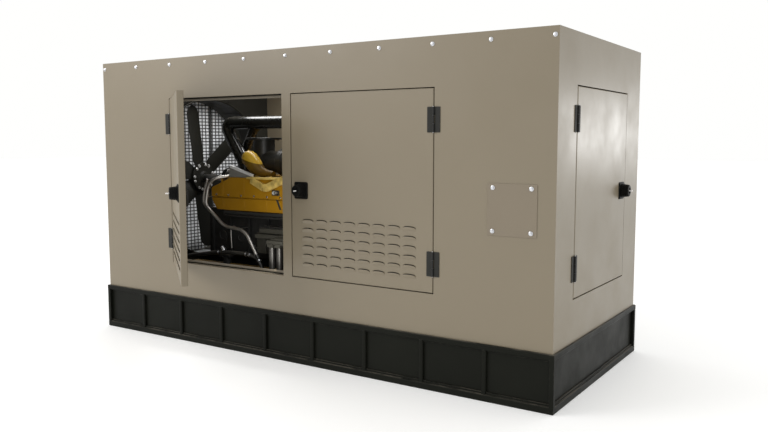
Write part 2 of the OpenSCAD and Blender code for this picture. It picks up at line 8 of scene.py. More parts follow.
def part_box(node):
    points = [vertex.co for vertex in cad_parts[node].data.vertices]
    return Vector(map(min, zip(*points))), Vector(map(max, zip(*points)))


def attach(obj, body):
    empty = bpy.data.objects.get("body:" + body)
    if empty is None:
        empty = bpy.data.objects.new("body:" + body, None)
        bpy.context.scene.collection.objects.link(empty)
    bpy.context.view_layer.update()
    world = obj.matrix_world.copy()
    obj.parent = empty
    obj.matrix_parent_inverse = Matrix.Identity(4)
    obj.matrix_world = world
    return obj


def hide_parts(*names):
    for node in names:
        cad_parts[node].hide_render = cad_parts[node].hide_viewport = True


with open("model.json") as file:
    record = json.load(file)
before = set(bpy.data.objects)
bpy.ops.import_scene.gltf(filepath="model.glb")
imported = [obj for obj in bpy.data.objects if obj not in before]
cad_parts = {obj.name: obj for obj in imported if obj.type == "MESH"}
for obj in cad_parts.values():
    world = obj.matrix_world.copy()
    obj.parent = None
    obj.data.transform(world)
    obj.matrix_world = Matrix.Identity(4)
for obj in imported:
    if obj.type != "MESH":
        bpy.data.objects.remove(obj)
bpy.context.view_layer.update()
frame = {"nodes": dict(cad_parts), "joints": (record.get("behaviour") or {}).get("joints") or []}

# ------------------------------------------------------------------ studio
# A plain studio: pale floor, white surround, a large soft key from the front left, and a tall soft box
# off the far right corner that the semi-gloss end wall picks up as a soft band. The eye stands at
# 1.6 m, a little over five metres in front of the set's right half.
scene = bpy.context.scene
scene.view_settings.view_transform = "Standard"

camera_data = bpy.data.cameras.new("camera")
camera_data.lens = 36.21
camera_data.sensor_width = 36
camera = bpy.data.objects.new("camera", camera_data)
camera.location = (3.619, -5.052, 1.603)
camera.rotation_euler = (math.radians(90 - 5.56), 0, math.radians(33.40))
scene.collection.objects.link(camera)
scene.camera = camera


def node(tree, kind, inputs=(), **settings):
    """Adds a shader node. Each input is a plain value or another node's output."""
    made = tree.nodes.new("ShaderNode" + kind)
    for key, value in settings.items():
        setattr(made, key, value)
    for socket, value in dict(inputs).items():
        if isinstance(value, bpy.types.NodeSocket):
            tree.links.new(value, made.inputs[socket])
        else:
            made.inputs[socket].default_value = value
    return made


def soft_light(name, place, aim, width, height, watts, tint=(1, 1, 1)):
    data = bpy.data.lights.new(name, "AREA")
    data.shape = "RECTANGLE"
    data.size, data.size_y = width, height
    data.energy = watts
    data.color = tint
    light = bpy.data.objects.new(name, data)
    light.location = place
    light.rotation_euler = (Vector(aim) - Vector(place)).to_track_quat("-Z", "Y").to_euler()
    light.visible_camera = False
    scene.collection.objects.link(light)


soft_light("key", (-6.5, -7.5, 5.5), (-1.2, 0, 1.3), 5, 4, 385, (1, 0.98, 0.98))
soft_light("end_box", (4.9, 8.0, 1.75), (2.2, 0, 1.6), 2.4, 0.9, 45)
soft_light("behind_fan", (-1.80, 0, 1.27), (-1.96, 0, 1.27), 1.25, 1.25, 2.3)
soft_light("over_engine", (-0.80, -0.14, 2.14), (-0.80, -0.14, 1.0), 1.1, 0.25, 9)
soft_light("back_of_bay", (-0.55, 0.42, 2.10), (-0.60, 0.82, 1.4), 0.7, 0.3, 16)
soft_light("behind_post", (-0.22, -0.74, 1.10), (-1.3, -0.45, 0.9), 0.10, 0.9, 1.8)

world = bpy.data.worlds.new("surround")
world.use_nodes = True
world.node_tree.nodes["Background"].inputs["Color"].default_value = (1.0, 1.0, 0.99, 1)
world.node_tree.nodes["Background"].inputs["Strength"].default_value = 1.0
scene.world = world

bpy.ops.mesh.primitive_plane_add(size=120, location=(0, 0, -0.0005))
floor = bpy.context.object
floor.name = "studio_floor"
floor_paint = bpy.data.materials.new("studio_floor")
floor_paint.use_nodes = True
floor_shader = floor_paint.node_tree.nodes["Principled BSDF"]
floor_shader.inputs["Base Color"].default_value = (0.86, 0.86, 0.855, 1)
floor_shader.inputs["Roughness"].default_value = 0.7
floor_shader.inputs["Emission Color"].default_value = (1, 1, 0.99, 1)
floor_shader.inputs["Emission Strength"].default_value = 0.22
floor.data.materials.append(floor_paint)

# ------------------------------------------------------------------ base tank
# The set stands on a welded steel fuel tank. Rolled rails run round its top and bottom edges, round-edged
# stiffening ribs are welded between them along both sides, and square posts close the corners. All of it
# is sprayed black, with a little dust along the ledges.


def surface(name, colour, rough, metal=0.0, tone=0.07, patch=0.7, grain=0.08, grain_size=0.0025, worn=None,
            worn_width=0.003, dust=0.0, specular=0.5, coat=0.0, brushed=None):
    """A finish with drifting tone, uneven gloss, fine grain, edges worn to another colour, and dust."""
    made = bpy.data.materials.new(name)
    made.use_nodes = True
    tree = made.node_tree
    shader = tree.nodes["Principled BSDF"]
    place = node(tree, "TexCoord").outputs["Object"]
    patches = node(tree, "TexNoise", {"Vector": place, "Scale": 1 / patch, "Detail": 5.0}).outputs[0]
    drift = node(tree, "TexNoise", {"Vector": place, "Scale": 5 / patch, "Detail": 3.0}).outputs[0]
    stretched = place
    if brushed:
        stretched = node(tree, "Mapping", {"Vector": place, "Scale": brushed}).outputs[0]
    fine = node(tree, "TexNoise", {"Vector": stretched, "Scale": 1 / grain_size, "Detail": 2.0}).outputs[0]

    def blended(factor, a, b):
        mixed = node(tree, "Mix", {0: factor}, data_type="RGBA")
        for index, value in ((6, a), (7, b)):
            if isinstance(value, bpy.types.NodeSocket):
                tree.links.new(value, mixed.inputs[index])
            else:
                mixed.inputs[index].default_value = (*value, 1)
        return mixed.outputs[2]

    def ranged(value, low, high, to_low=0.0, to_high=1.0):
        return node(tree, "MapRange",
                    {"Value": value, "From Min": low, "From Max": high, "To Min": to_low,
                     "To Max": to_high}).outputs[0]

    def product(a, b):
        return node(tree, "Math", {0: a, 1: b}, operation="MULTIPLY").outputs[0]

    shade = blended(ranged(patches, 0.3, 0.7), [c * (1 - tone) for c in colour],
                    [c * (1 + tone) for c in colour])
    gloss = ranged(drift, 0.3, 0.7, rough * 0.85, min(1.0, rough * 1.18))
    outward = node(tree, "NewGeometry").outputs["Normal"]
    if dust:
        up = node(tree, "SeparateXYZ", {0: outward}).outputs[2]
        settled = product(ranged(up, 0.5, 1.0, 0.0, dust), ranged(drift, 0.35, 0.6))
        shade = blended(settled, shade, (0.34, 0.30, 0.24))
    if worn:
        rounded_normal = node(tree, "Bevel", {"Radius": worn_width}, samples=3).outputs[0]
        turn = node(tree, "VectorMath", {0: rounded_normal, 1: outward},
                    operation="DOT_PRODUCT").outputs["Value"]
        chips = node(tree, "TexNoise", {"Vector": place, "Scale": 38.0, "Detail": 6.0}).outputs[0]
        shade = blended(product(ranged(turn, 0.985, 0.85), ranged(chips, 0.48, 0.66)), shade, worn)
    tree.links.new(shade, shader.inputs["Base Color"])
    tree.links.new(gloss, shader.inputs["Roughness"])
    bump = node(tree, "Bump", {"Height": fine, "Strength": grain, "Distance": 0.0006})
    tree.links.new(bump.outputs[0], shader.inputs["Normal"])
    shader.inputs["Metallic"].default_value = metal
    shader.inputs["Specular IOR Level"].default_value = specular
    shader.inputs["Coat Weight"].default_value = coat
    return made


def piece(name, drawn, material, body, stands_for=(), edge=0.0, sheet_t=0.0, sharp=38, outward=False):
    """Makes a drawn mesh a piece of the set: it takes its finish and moves with its body."""
    if outward:
        bmesh.ops.recalc_face_normals(drawn, faces=drawn.faces)
    mesh = bpy.data.meshes.new(name)
    drawn.to_mesh(mesh)
    drawn.free()
    made = bpy.data.objects.new(name, mesh)
    scene.collection.objects.link(made)
    for finish in material if isinstance(material, list) else [material]:
        mesh.materials.append(finish)
    mesh.shade_smooth()
    mesh.set_sharp_from_angle(angle=math.radians(sharp))
    if sheet_t:
        thick = made.modifiers.new("sheet", "SOLIDIFY")
        thick.thickness, thick.offset = sheet_t, -1
    if edge:
        rounding = made.modifiers.new("edges", "BEVEL")
        rounding.width, rounding.segments = edge, 2
        rounding.limit_method, rounding.angle_limit = "ANGLE", math.radians(sharp)
    even = made.modifiers.new("even_shading", "WEIGHTED_NORMAL")
    even.keep_sharp = True
    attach(made, body)
    if stands_for:
        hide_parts(*stands_for)
    return made


def keep(names, material, edge=0.0015):
    """Finishes frame nodes whose shape is already right: their edges are broken and they are painted."""
    for name in names:
        kept = frame["nodes"][name]
        kept.data.materials.clear()
        kept.data.materials.append(material)
        if not edge:
            continue
        joined = kept.modifiers.new("weld", "WELD")
        joined.merge_threshold = 0.00002
        rounding = kept.modifiers.new("edges", "BEVEL")
        rounding.width, rounding.segments = edge, 2
        rounding.limit_method, rounding.angle_limit = "ANGLE", math.radians(38)
        kept.modifiers.new("even_shading", "WEIGHTED_NORMAL")


def block(drawn, low, high, matrix=None, finish=0):
    """Adds a box between two corners."""
    corners = [Vector((x, y, z)) for x in (low[0], high[0]) for y in (low[1], high[1])
               for z in (low[2], high[2])]
    verts = [drawn.verts.new(matrix @ c if matrix else c) for c in corners]
    for loop in ((0, 1, 3, 2), (4, 6, 7, 5), (0, 4, 5, 1), (2, 3, 7, 6), (0, 2, 6, 4), (1, 5, 7, 3)):
        drawn.faces.new([verts[i] for i in loop]).material_index = finish
    if matrix and matrix.determinant() < 0:
        bmesh.ops.reverse_faces(drawn, faces=list({f for v in verts for f in v.link_faces}))


def skin(drawn, rings, closed=True, caps=True, finish=0):
    """Joins rings of equally many points into a surface, and caps its two ends."""
    rows = [[drawn.verts.new(p) for p in ring] for ring in rings]
    count = len(rows[0])
    for a, b in zip(rows, rows[1:]):
        for i in range(count if closed else count - 1):
            k = (i + 1) % count
            drawn.faces.new((a[i], a[k], b[k], b[i])).material_index = finish
    if caps:
        drawn.faces.new(rows[0][::-1]).material_index = finish
        drawn.faces.new(rows[-1]).material_index = finish
    return rows


black_paint = surface("black_tank_paint", (0.0075, 0.008, 0.0058), 0.42, tone=0.25, specular=0.07,
                      dust=0.25, worn=(0.07, 0.066, 0.055), worn_width=0.004, grain=0.12)
keep(["base_tank"], black_paint, edge=0.003)

base_low, base_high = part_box("base_frame")
tank_low, tank_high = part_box("base_tank")
recess = tank_low.x - base_low.x
rail_top, rail_bottom = 0.324, 0.044
fold_r = 0.004

# each rail's cross-section: how far it stands out of the tank, and its height
upper_rail = [(0, 0.313), (0.008, 0.313), (0.008, rail_top), (recess - fold_r, rail_top),
              (recess, rail_top + fold_r), (recess, base_high.z - fold_r), (recess - fold_r, base_high.z),
              (-0.003, base_high.z)]
lower_rail = [(-0.003, 0.0), (recess - fold_r, 0.0), (recess, fold_r), (recess, rail_bottom - fold_r),
              (recess - fold_r, rail_bottom), (0.011, rail_bottom), (0.011, 0.057), (0, 0.057)]

rails = bmesh.new()
half_x, half_y = tank_high.x, -tank_low.y
for section in (upper_rail, lower_rail):
    corners = []
    for sx, sy in ((-1, -1), (1, -1), (1, 1), (-1, 1)):
        corners.append([Vector((sx * (half_x + out), sy * (half_y + out), z)) for out, z in section])
    skin(rails, corners + [corners[0]], closed=True, caps=False)
bmesh.ops.remove_doubles(rails, verts=rails.verts, dist=1e-6)

rib_pitch, rib_w, rib_out, rib_r = 0.45, 0.030, 0.020, 0.008
rib_section = [(-rib_w / 2, -0.002)]
for side in (-1, 1):
    arc = [math.radians(a) for a in (0, 30, 60, 90)]
    turn = [(side * (rib_w / 2 - rib_r + rib_r * math.cos(a)), rib_out - rib_r + rib_r * math.sin(a))
            for a in arc]
    rib_section += turn if side < 0 else turn[::-1]
rib_section.append((rib_w / 2, -0.002))
for side in (-1, 1):
    for i in range(-4, 4):
        x = (i + 0.5) * rib_pitch
        ends = [[Vector((x - side * dx, side * (half_y + out), z)) for dx, out in rib_section]
                for z in (rail_bottom - 0.002, rail_top + 0.002)]
        skin(rails, ends)
post = 0.030
for sx in (-1, 1):
    for sy in (-1, 1):
        low = (min(sx * base_high.x, sx * (base_high.x - post)),
               min(sy * base_high.y, sy * (base_high.y - post)))
        block(rails, (low[0] + 0.0005, low[1] + 0.0005, 0.002),
              (low[0] + post - 0.0005, low[1] + post - 0.0005, base_high.z - 0.002))
piece("base_rails_and_ribs", rails, black_paint, "root", ["base_frame"], edge=0.0015,
      outward=True)

# ------------------------------------------------------------------ housing
# The housing is folded from 3 mm steel sheet: two long walls with folded doorways, two end walls and a
# flanged roof, all powder coated tan in a semi-gloss with a faint orange peel. The roof's flange is bolted
# to the walls along the top.
tan_paint = surface("tan_powder_coat", (0.191, 0.159, 0.108), 0.36, tone=0.03, patch=1.6, grain=0.10,
                    grain_size=0.003, dust=0.15)
keep(["front_panel", "back_panel", "left_end_panel", "right_end_panel", "roof_panel"], tan_paint,
     edge=0)

# ------------------------------------------------------------------ bolts
# Zinc-plated M16 flange bolts hold the roof and the service cover. Each head is a wide washer face, a
# hexagon with a chamfered top, and a shallow dome. They stop at whatever angle they came tight.
zinc = surface("zinc_plate", (0.62, 0.63, 0.66), 0.28, metal=1.0, tone=0.10, patch=0.05, grain=0.15,
               grain_size=0.0015)
wall_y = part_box("front_panel")[0].y
bolt_count, bolt_pitch, bolt_z = 11, 0.398, 2.200


def flange_bolt(drawn, matrix, size=1.0):
    """A flange bolt whose seat is the local XY plane and whose head rises along +Z."""
    def ring(r, z, hexagon=0.0):
        points = []
        for k in range(24):
            a = math.tau * k / 24
            flat = math.cos(math.pi / 6) / math.cos((a % (math.pi / 3)) - math.pi / 6)
            reach = r * (1 + (flat - 1) * hexagon) * size
            points.append(matrix @ Vector((reach * math.cos(a), reach * math.sin(a), z * size)))
        return points
    profile = [(0.0135, 0.0, 0), (0.0140, 0.0006, 0), (0.0135, 0.0020, 0), (0.0112, 0.0030, 0.6),
               (0.0108, 0.0034, 1), (0.0108, 0.0078, 1), (0.0096, 0.0090, 0.3), (0.0060, 0.0097, 0),
               (0.0020, 0.0100, 0)]
    skin(drawn, [ring(*step) for step in profile])


def facing(direction, place, spin=0.0):
    """A frame whose +Z points along the direction, turned about it by the spin."""
    turn = Vector(direction).to_track_quat("Z", "Y").to_matrix().to_4x4()
    return Matrix.Translation(place) @ turn @ Matrix.Rotation(spin, 4, "Z")


bolts = bmesh.new()
for side in (-1, 1):
    for i in range(bolt_count):
        x = (i - (bolt_count - 1) / 2) * bolt_pitch
        flange_bolt(bolts, facing((0, side, 0), (x, side * -wall_y, bolt_z), spin=1.7 * i + side))
cover_low, cover_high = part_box("service_cover")
cover_mid = (cover_low + cover_high) / 2
for sx in (-1, 1):
    for sz in (-1, 1):
        place = (cover_mid.x + sx * 0.124, cover_low.y, cover_mid.z + sz * 0.131)
        flange_bolt(bolts, facing((0, -1, 0), place, spin=sx + 2.3 * sz))
piece("roof_and_cover_bolts", bolts, zinc, "root", ["panel_bolts"])

# ------------------------------------------------------------------ service cover
# A flat 4 mm steel plate closes the connection window near the right end of the front wall. It is painted
# a shade darker than the wall, its corners are just broken, and four bolts hold it.
cover_paint = surface("cover_paint", (0.185, 0.152, 0.106), 0.42, tone=0.04, grain=0.12,
                      worn=(0.28, 0.24, 0.18))


def plate_outline(half_w, half_h, r, steps=5):
    """Corner-rounded rectangle about the origin, counter-clockwise."""
    points = []
    for quarter, (sx, sy) in enumerate(((1, 1), (-1, 1), (-1, -1), (1, -1))):
        for k in range(steps + 1):
            a = math.pi / 2 * (quarter + k / steps)
            points.append((sx * (half_w - r) + r * math.cos(a), sy * (half_h - r) + r * math.sin(a)))
    return points


def raised_plate(drawn, outline, steps, matrix, finish=0):
    """Stacks an outline: each step gives how much it is pulled in, and its height."""
    def ring(inset, z):
        points = []
        for x, y in outline:
            points.append(matrix @ Vector((x - math.copysign(inset, x), y - math.copysign(inset, y), z)))
        return points
    skin(drawn, [ring(*step) for step in steps], finish=finish)


cover = bmesh.new()
cover_t = cover_high.y - cover_low.y
cover_reach = (cover_high - cover_low) / 2
raised_plate(cover, plate_outline(cover_reach.x, cover_reach.z, 0.006),
             [(0, 0), (0, cover_t - 0.001), (0.001, cover_t)],
             facing((0, -1, 0), (cover_mid.x, cover_high.y, cover_mid.z)))
piece("service_cover_plate", cover, cover_paint, "root", ["service_cover"])

# ------------------------------------------------------------------ doors
# Five doors close the housing: two along each long wall and one in the right end. Each is a pan folded from
# 2 mm sheet with small bends, its edges returned inwards. The four side doors have eight columns and six
# rows of louvres: each louvre is cut along an arch and pressed outwards, so it stands open along its top.
joints = {j["child"]: j for j in frame["joints"]}
rest_open = -joints["door_front_left_body"]["range_deg"][0]
turns = {"front_left": (-rest_open, (1, 1)), "front_right": (0, (-1, 1)), "end": (90, (1, 1)),
         "back_left": (0, (1, -1)), "back_right": (180, (1, 1))}
wide = {name: 1.030 if name == "end" else 1.170 for name in turns}
face_y = 0.0085
door_x0, door_z0, door_z1 = 0.004, 0.637, 1.929
latch_z = 1.254
hinge_zs = (0.822, 1.735)


def door_place(name, closed=False):
    """From a door's own frame, with its hinge line at the origin and its face towards -Y, to the set's."""
    turn, (mx, my) = turns[name]
    line = joints["door_" + name + "_body"]["pos_m"]
    if closed and name == "front_left":
        turn = 0
    return (Matrix.Translation((line[0], line[1], 0)) @ Matrix.Rotation(math.radians(turn), 4, "Z")
            @ Matrix.Diagonal((mx, my, 1, 1)))


def settle(drawn, matrix):
    """Moves what is drawn into place, and keeps its faces outwards if the place is mirrored."""
    bmesh.ops.transform(drawn, matrix=matrix, verts=drawn.verts)
    if matrix.determinant() < 0:
        bmesh.ops.reverse_faces(drawn, faces=drawn.faces)


def join(drawn, own):
    """Adds one drawing to another and frees it."""
    spare = bpy.data.meshes.new("spare")
    own.to_mesh(spare)
    own.free()
    drawn.from_mesh(spare)
    bpy.data.meshes.remove(spare)


louvre_cols, louvre_rows = 8, 6
louvre_w, louvre_pitch_x, louvre_x0 = 0.102, 0.1197, 0.127
louvre_pitch_z, louvre_z0 = 0.062, 0.739
louvre_out, louvre_drop, louvre_cut = 0.0095, 0.028, 0.0055
across = [-1, -0.94, -0.82, -0.62, -0.3, 0, 0.3, 0.62, 0.82, 0.94, 1]
up = [0, 0.3, 0.6, 0.85, 1]
shoulder = 0.014


def arch(u):
    return math.sqrt(max(0.0, 1 - abs(u) ** 3.2))


def door_face(w, louvred):
    """The pan of one door as a single sheet: face, louvres, bends, edges and returns."""
    drawn = bmesh.new()
    bend, depth, lip = 0.004, 0.042, 0.014
    x1 = w - 0.012
    fx0, fx1, fz0, fz1 = door_x0 + bend, x1 - bend, door_z0 + bend, door_z1 - bend

    def quad(a, b, c, d):
        drawn.faces.new([drawn.verts.new((x, y, z)) for x, y, z in (a, b, c, d)])

    columns = [fx0]
    centres = []
    if louvred:
        for i in range(louvre_cols):
            centre = louvre_x0 + i * louvre_pitch_x + louvre_w / 2
            centres.append(centre)
            columns += [centre + u * louvre_w / 2 for u in across]
    columns.append(fx1)
    levels = [fz0]
    if louvred:
        for j in range(louvre_rows):
            top = louvre_z0 + j * louvre_pitch_z
            low = top - louvre_drop
            levels += [low + t * (louvre_drop - shoulder) for t in up] + [top + louvre_cut]
    levels.append(fz1)
    per_louvre, per_band = len(across), len(up) + 1
    for c, (xa, xb) in enumerate(zip(columns, columns[1:])):
        in_louvre = louvred and c >= 1 and (c - 1) % per_louvre != per_louvre - 1 and c < len(columns) - 2
        for r, (za, zb) in enumerate(zip(levels, levels[1:])):
            in_band = louvred and r >= 1 and (r - 1) % per_band != per_band - 1 and r < len(levels) - 2
            if not (in_louvre and in_band):
                quad((xa, face_y, za), (xb, face_y, za), (xb, face_y, zb), (xa, face_y, zb))
                continue
            step = (r - 1) % per_band
            ua, ub = across[(c - 1) % per_louvre], across[(c - 1) % per_louvre + 1]
            low = levels[r - step]

            def pressed(x, u, t):
                rise = (louvre_drop - shoulder) + shoulder * arch(u)
                out = louvre_out * arch(u) * (1 - (1 - t) ** 1.8)
                return (x, face_y - out, low + t * rise)

            if step < len(up) - 1:
                ta, tb = up[step], up[step + 1]
                quad(pressed(xa, ua, ta), pressed(xb, ub, ta), pressed(xb, ub, tb), pressed(xa, ua, tb))
                continue
            top = low + louvre_drop + louvre_cut
            cuts = []
            for x, u in ((xa, ua), (xb, ub)):
                edge_z = low + (louvre_drop - shoulder) + (shoulder + louvre_cut * 0.8) * arch(u)
                cuts.append((x, face_y, edge_z))
            quad(cuts[0], cuts[1], (xb, face_y, top), (xa, face_y, top))
    bmesh.ops.remove_doubles(drawn, verts=drawn.verts, dist=1e-6)

    border = [(x, fz0) for x in columns[:-1]] + [(fx1, z) for z in levels[:-1]]
    border += [(x, fz1) for x in columns[:0:-1]] + [(fx0, z) for z in levels[:0:-1]]
    arc = [math.radians(a) for a in (0, 22.5, 45, 67.5, 90)]
    profile = [(bend * math.sin(a), face_y + bend * (1 - math.cos(a))) for a in arc]
    profile += [(bend, face_y + depth - 0.003), (bend - 0.001, face_y + depth - 0.001),
                (bend - 0.003, face_y + depth), (bend - lip, face_y + depth)]
    rings = []
    for out, y in profile:
        ring = []
        for x, z in border:
            px = x + (out if x == fx1 else -out if x == fx0 else 0)
            pz = z + (out if z == fz1 else -out if z == fz0 else 0)
            ring.append(Vector((px, y, pz)))
        rings.append(ring)
    skin(drawn, rings, closed=True, caps=False)
    bmesh.ops.remove_doubles(drawn, verts=drawn.verts, dist=1e-6)
    return drawn


foam = surface("acoustic_foam", (0.022, 0.022, 0.023), 0.95, tone=0.3, patch=0.08, grain=0.9,
               grain_size=0.004, specular=0.1)
for name in turns:
    door = "door_" + name
    pan = door_face(wide[name], louvred=name != "end")
    settle(pan, door_place(name))
    piece(door + "_pan", pan, tan_paint, door + "_body", [door], sheet_t=0.002)

    w = wide[name]
    liner = bmesh.new()
    low_edge = 1.12 if name != "end" else door_z0 + 0.06
    x0, x1, z0, z1 = 0.06, w - 0.16, low_edge, door_z1 - 0.06
    outline = plate_outline((x1 - x0) / 2, (z1 - z0) / 2, 0.02)
    middle = Matrix.Translation(((x0 + x1) / 2, face_y + 0.0022, (z0 + z1) / 2))
    middle = middle @ Matrix.Rotation(-math.pi / 2, 4, "X")
    raised_plate(liner, outline, [(0, 0), (0, 0.016), (0.004, 0.021), (0.010, 0.023)], middle)
    settle(liner, door_place(name))
    piece(door + "_liner", liner, foam, door + "_body", outward=True)

# ------------------------------------------------------------------ hinges
# Each door hangs on two lift-type steel hinges in a dark grey powder coat: flat leaves 5 mm thick are
# screwed to wall and door from behind, and three barrels turn on a pin whose ends stand a little proud.
leaf_coat = surface("hinge_leaf_coat", (0.020, 0.020, 0.0175), 0.48, tone=0.15, grain=0.3, grain_size=0.002,
                    specular=0.18, worn=(0.13, 0.125, 0.12))
# The barrels are coloured darker than the leaves as painted shade along the knuckles.
barrel_shade_coat = surface("hinge_barrel_painted_shade", (0.012, 0.012, 0.011), 0.40, tone=0.15, grain=0.2, specular=0.3)
pin_steel = surface("pin_steel", (0.50, 0.50, 0.50), 0.35, metal=1.0, brushed=(1, 1, 0.05), grain=0.2)
hinge_h, leaf_x0, leaf_x1, leaf_t = 0.160, 0.010, 0.046, 0.005
barrel_r, barrel_gap = 0.008, 0.0005


def lathe(drawn, profile, matrix=None, sides=32, finish=0, caps=True):
    """Turns a profile of (radius, height) about the local Z axis."""
    matrix = matrix or Matrix.Identity(4)
    rings = []
    for r, z in profile:
        rings.append([matrix
                      @ Vector((r * math.cos(math.tau * k / sides), r * math.sin(math.tau * k / sides), z))
                      for k in range(sides)])
    skin(drawn, rings, caps=caps, finish=finish)


def hinge_side(drawn, moving):
    for z in hinge_zs:
        outline = plate_outline((leaf_x1 - leaf_x0) / 2, hinge_h / 2, 0.003, steps=3)
        middle = Matrix.Translation(((leaf_x0 + leaf_x1) / 2, face_y, z))
        middle = middle @ Matrix.Rotation(math.pi / 2, 4, "X")
        raised_plate(drawn, outline,
                     [(0, 0), (0, leaf_t - 0.0012), (0.0004, leaf_t - 0.0004), (0.0012, leaf_t)], middle)
        third = hinge_h / 3
        for step in (0,) if moving else (-1, 1):
            low, high = z + step * third - third / 2 + barrel_gap, z + step * third + third / 2 - barrel_gap
            lathe(drawn,
                  [(0.0045, low), (barrel_r - 0.0008, low), (barrel_r, low + 0.0008),
                   (barrel_r, high - 0.0008), (barrel_r - 0.0008, high), (0.0045, high)], finish=1)
            block(drawn, (0, face_y - leaf_t, low + 0.0005),
                  (leaf_x0 + 0.001, face_y - 0.0006, high - 0.0005), finish=1)


frame_leaves, pins = bmesh.new(), bmesh.new()
for name in turns:
    door = "door_" + name
    leaves = bmesh.new()
    hinge_side(leaves, moving=True)
    settle(leaves, door_place(name))
    piece(door + "_hinge_leaves", leaves, [leaf_coat, barrel_shade_coat], door + "_body",
          [door + "_leaves"], outward=True)
    closed = door_place(name, closed=True)
    own = bmesh.new()
    hinge_side(own, moving=False)
    bmesh.ops.transform(own, matrix=closed @ Matrix.Diagonal((-1, 1, 1, 1)), verts=own.verts)
    bmesh.ops.recalc_face_normals(own, faces=own.faces)
    join(frame_leaves, own)
    for z in hinge_zs:
        ends = hinge_h / 2
        lathe(pins, [(0.0015, z - ends - 0.004), (0.0034, z - ends - 0.0035), (0.004, z - ends - 0.002),
                     (0.004, z + ends + 0.002), (0.0034, z + ends + 0.0035), (0.0015, z + ends + 0.004)],
              closed, sides=20)
piece("frame_side_hinge_leaves", frame_leaves, [leaf_coat, barrel_shade_coat], "root",
      ["frame_hinge_leaves"])
piece("hinge_pin_set", pins, pin_steel, "root", ["hinge_pins"], outward=True)

# ------------------------------------------------------------------ latches
# Every door shuts with one compression latch moulded in black glass-filled nylon: a rounded square plate
# with a stepped edge, and a wide ringed barrel that turns a blackened steel cam behind the lip. The key
# sticks out.
nylon = surface("black_nylon", (0.0035, 0.0035, 0.003), 0.5, tone=0.2, grain=0.25, grain_size=0.0012,
                specular=0.08)
cam_steel = surface("blackened_steel", (0.035, 0.034, 0.032), 0.5, metal=0.6, tone=0.2, grain=0.3)
key_nickel = surface("key_nickel", (0.86, 0.84, 0.82), 0.35, metal=0.3, tone=0.05, patch=0.02, grain=0.1)
latch_inset, plate_t, plate_half = 0.086, 0.010, 0.060
cam_y, cam_t, cam_reach, cam_half = 0.0565, 0.006, 0.090, 0.015

for name in turns:
    door = "door_" + name
    middle = Matrix.Translation((wide[name] - 0.012 - latch_inset, face_y, latch_z))
    middle = middle @ Matrix.Rotation(math.pi / 2, 4, "X")
    plate = bmesh.new()
    raised_plate(plate, plate_outline(plate_half, plate_half, 0.014, steps=6),
                 [(0, 0), (0, 0.0045), (0.0012, 0.0058), (0.0045, 0.0062), (0.0058, 0.0090),
                  (0.0070, plate_t)], middle)
    settle(plate, door_place(name))
    piece(door + "_latch_base", plate, nylon, door + "_body", [door + "_latch_plate"],
          outward=True)

    barrel = bmesh.new()
    z0 = plate_t + 0.0003
    grip = ((0.010, 0), (0.0468, 0), (0.048, 0.0012), (0.048, 0.0066), (0.0465, 0.0078), (0.0440, 0.0086),
            (0.0440, 0.0112), (0.0458, 0.0122), (0.0450, 0.0225), (0.0425, 0.0240), (0.0425, 0.0262),
            (0.0440, 0.0275), (0.0430, 0.0385), (0.0405, 0.0395), (0.0405, 0.0412), (0.0418, 0.0422),
            (0.0412, 0.0468), (0.0385, 0.0502), (0.0340, 0.0516), (0.0220, 0.0516), (0.0200, 0.0500),
            (0.0198, 0.0455), (0.0085, 0.0450), (0.0080, 0.0465), (0.0015, 0.0468))
    lathe(barrel, [(r, z0 + h) for r, h in grip], middle, sides=48)
    lathe(barrel, [(0.0098, -cam_y - cam_t), (0.0098, -0.0005), (0.0096, plate_t + 0.001)], middle,
          sides=24, finish=1)
    block(barrel, (-cam_half, cam_y, -cam_reach), (cam_half, cam_y + cam_t, 0.016),
          Matrix.Translation(middle.translation), finish=1)
    bow = z0 + 0.0465
    block(barrel, (-0.0012, -0.0040, bow), (0.0012, 0.0040, bow + 0.012), middle, finish=2)
    lathe(barrel, [(0.0048, -0.0013), (0.0048, 0.0013)], middle @ Matrix.Translation((0, 0, bow + 0.0165))
          @ Matrix.Rotation(math.pi / 2, 4, "Y"), sides=20, finish=2)
    lathe(barrel, [(0.0035, bow), (0.0046, bow + 0.001), (0.0046, bow + 0.0255), (0.0036, bow + 0.0268)],
          middle, sides=20, finish=2)
    settle(barrel, door_place(name))
    piece(door + "_latch_barrel", barrel, [nylon, cam_steel, key_nickel], "knob_" + name,
          [door + "_knob"], edge=0.0004, outward=True)

# ------------------------------------------------------------------ door seals
# A black sponge-rubber seal is pushed onto each doorway's lip and closes against the back of the door.
rubber = surface("sponge_rubber", (0.010, 0.010, 0.010), 0.85, tone=0.25, patch=0.1, grain=0.5,
                 grain_size=0.003, specular=0.25)
seals = bmesh.new()
for name in turns:
    opening_x0, opening_x1 = -0.004, wide[name] - 0.004
    z0, z1 = door_z0 - 0.008, door_z1 + 0.008
    section = [(0.0004, 0.0508), (0.0004, 0.0575), (0.0058, 0.0575), (0.0073, 0.0565), (0.0077, 0.0545),
               (0.0073, 0.0520), (0.0058, 0.0508)]
    rings = []
    for cx, cz, sx, sz in ((opening_x0, z0, 1, 1), (opening_x1, z0, -1, 1), (opening_x1, z1, -1, -1),
                           (opening_x0, z1, 1, -1)):
        rings.append([Vector((cx + sx * inset, y, cz + sz * inset)) for inset, y in section])
    own = bmesh.new()
    skin(own, rings + [rings[0]], caps=False)
    bmesh.ops.remove_doubles(own, verts=own.verts, dist=1e-6)
    settle(own, door_place(name, closed=True))
    join(seals, own)
piece("doorway_seals", seals, rubber, "root", ["door_seals"], outward=True)

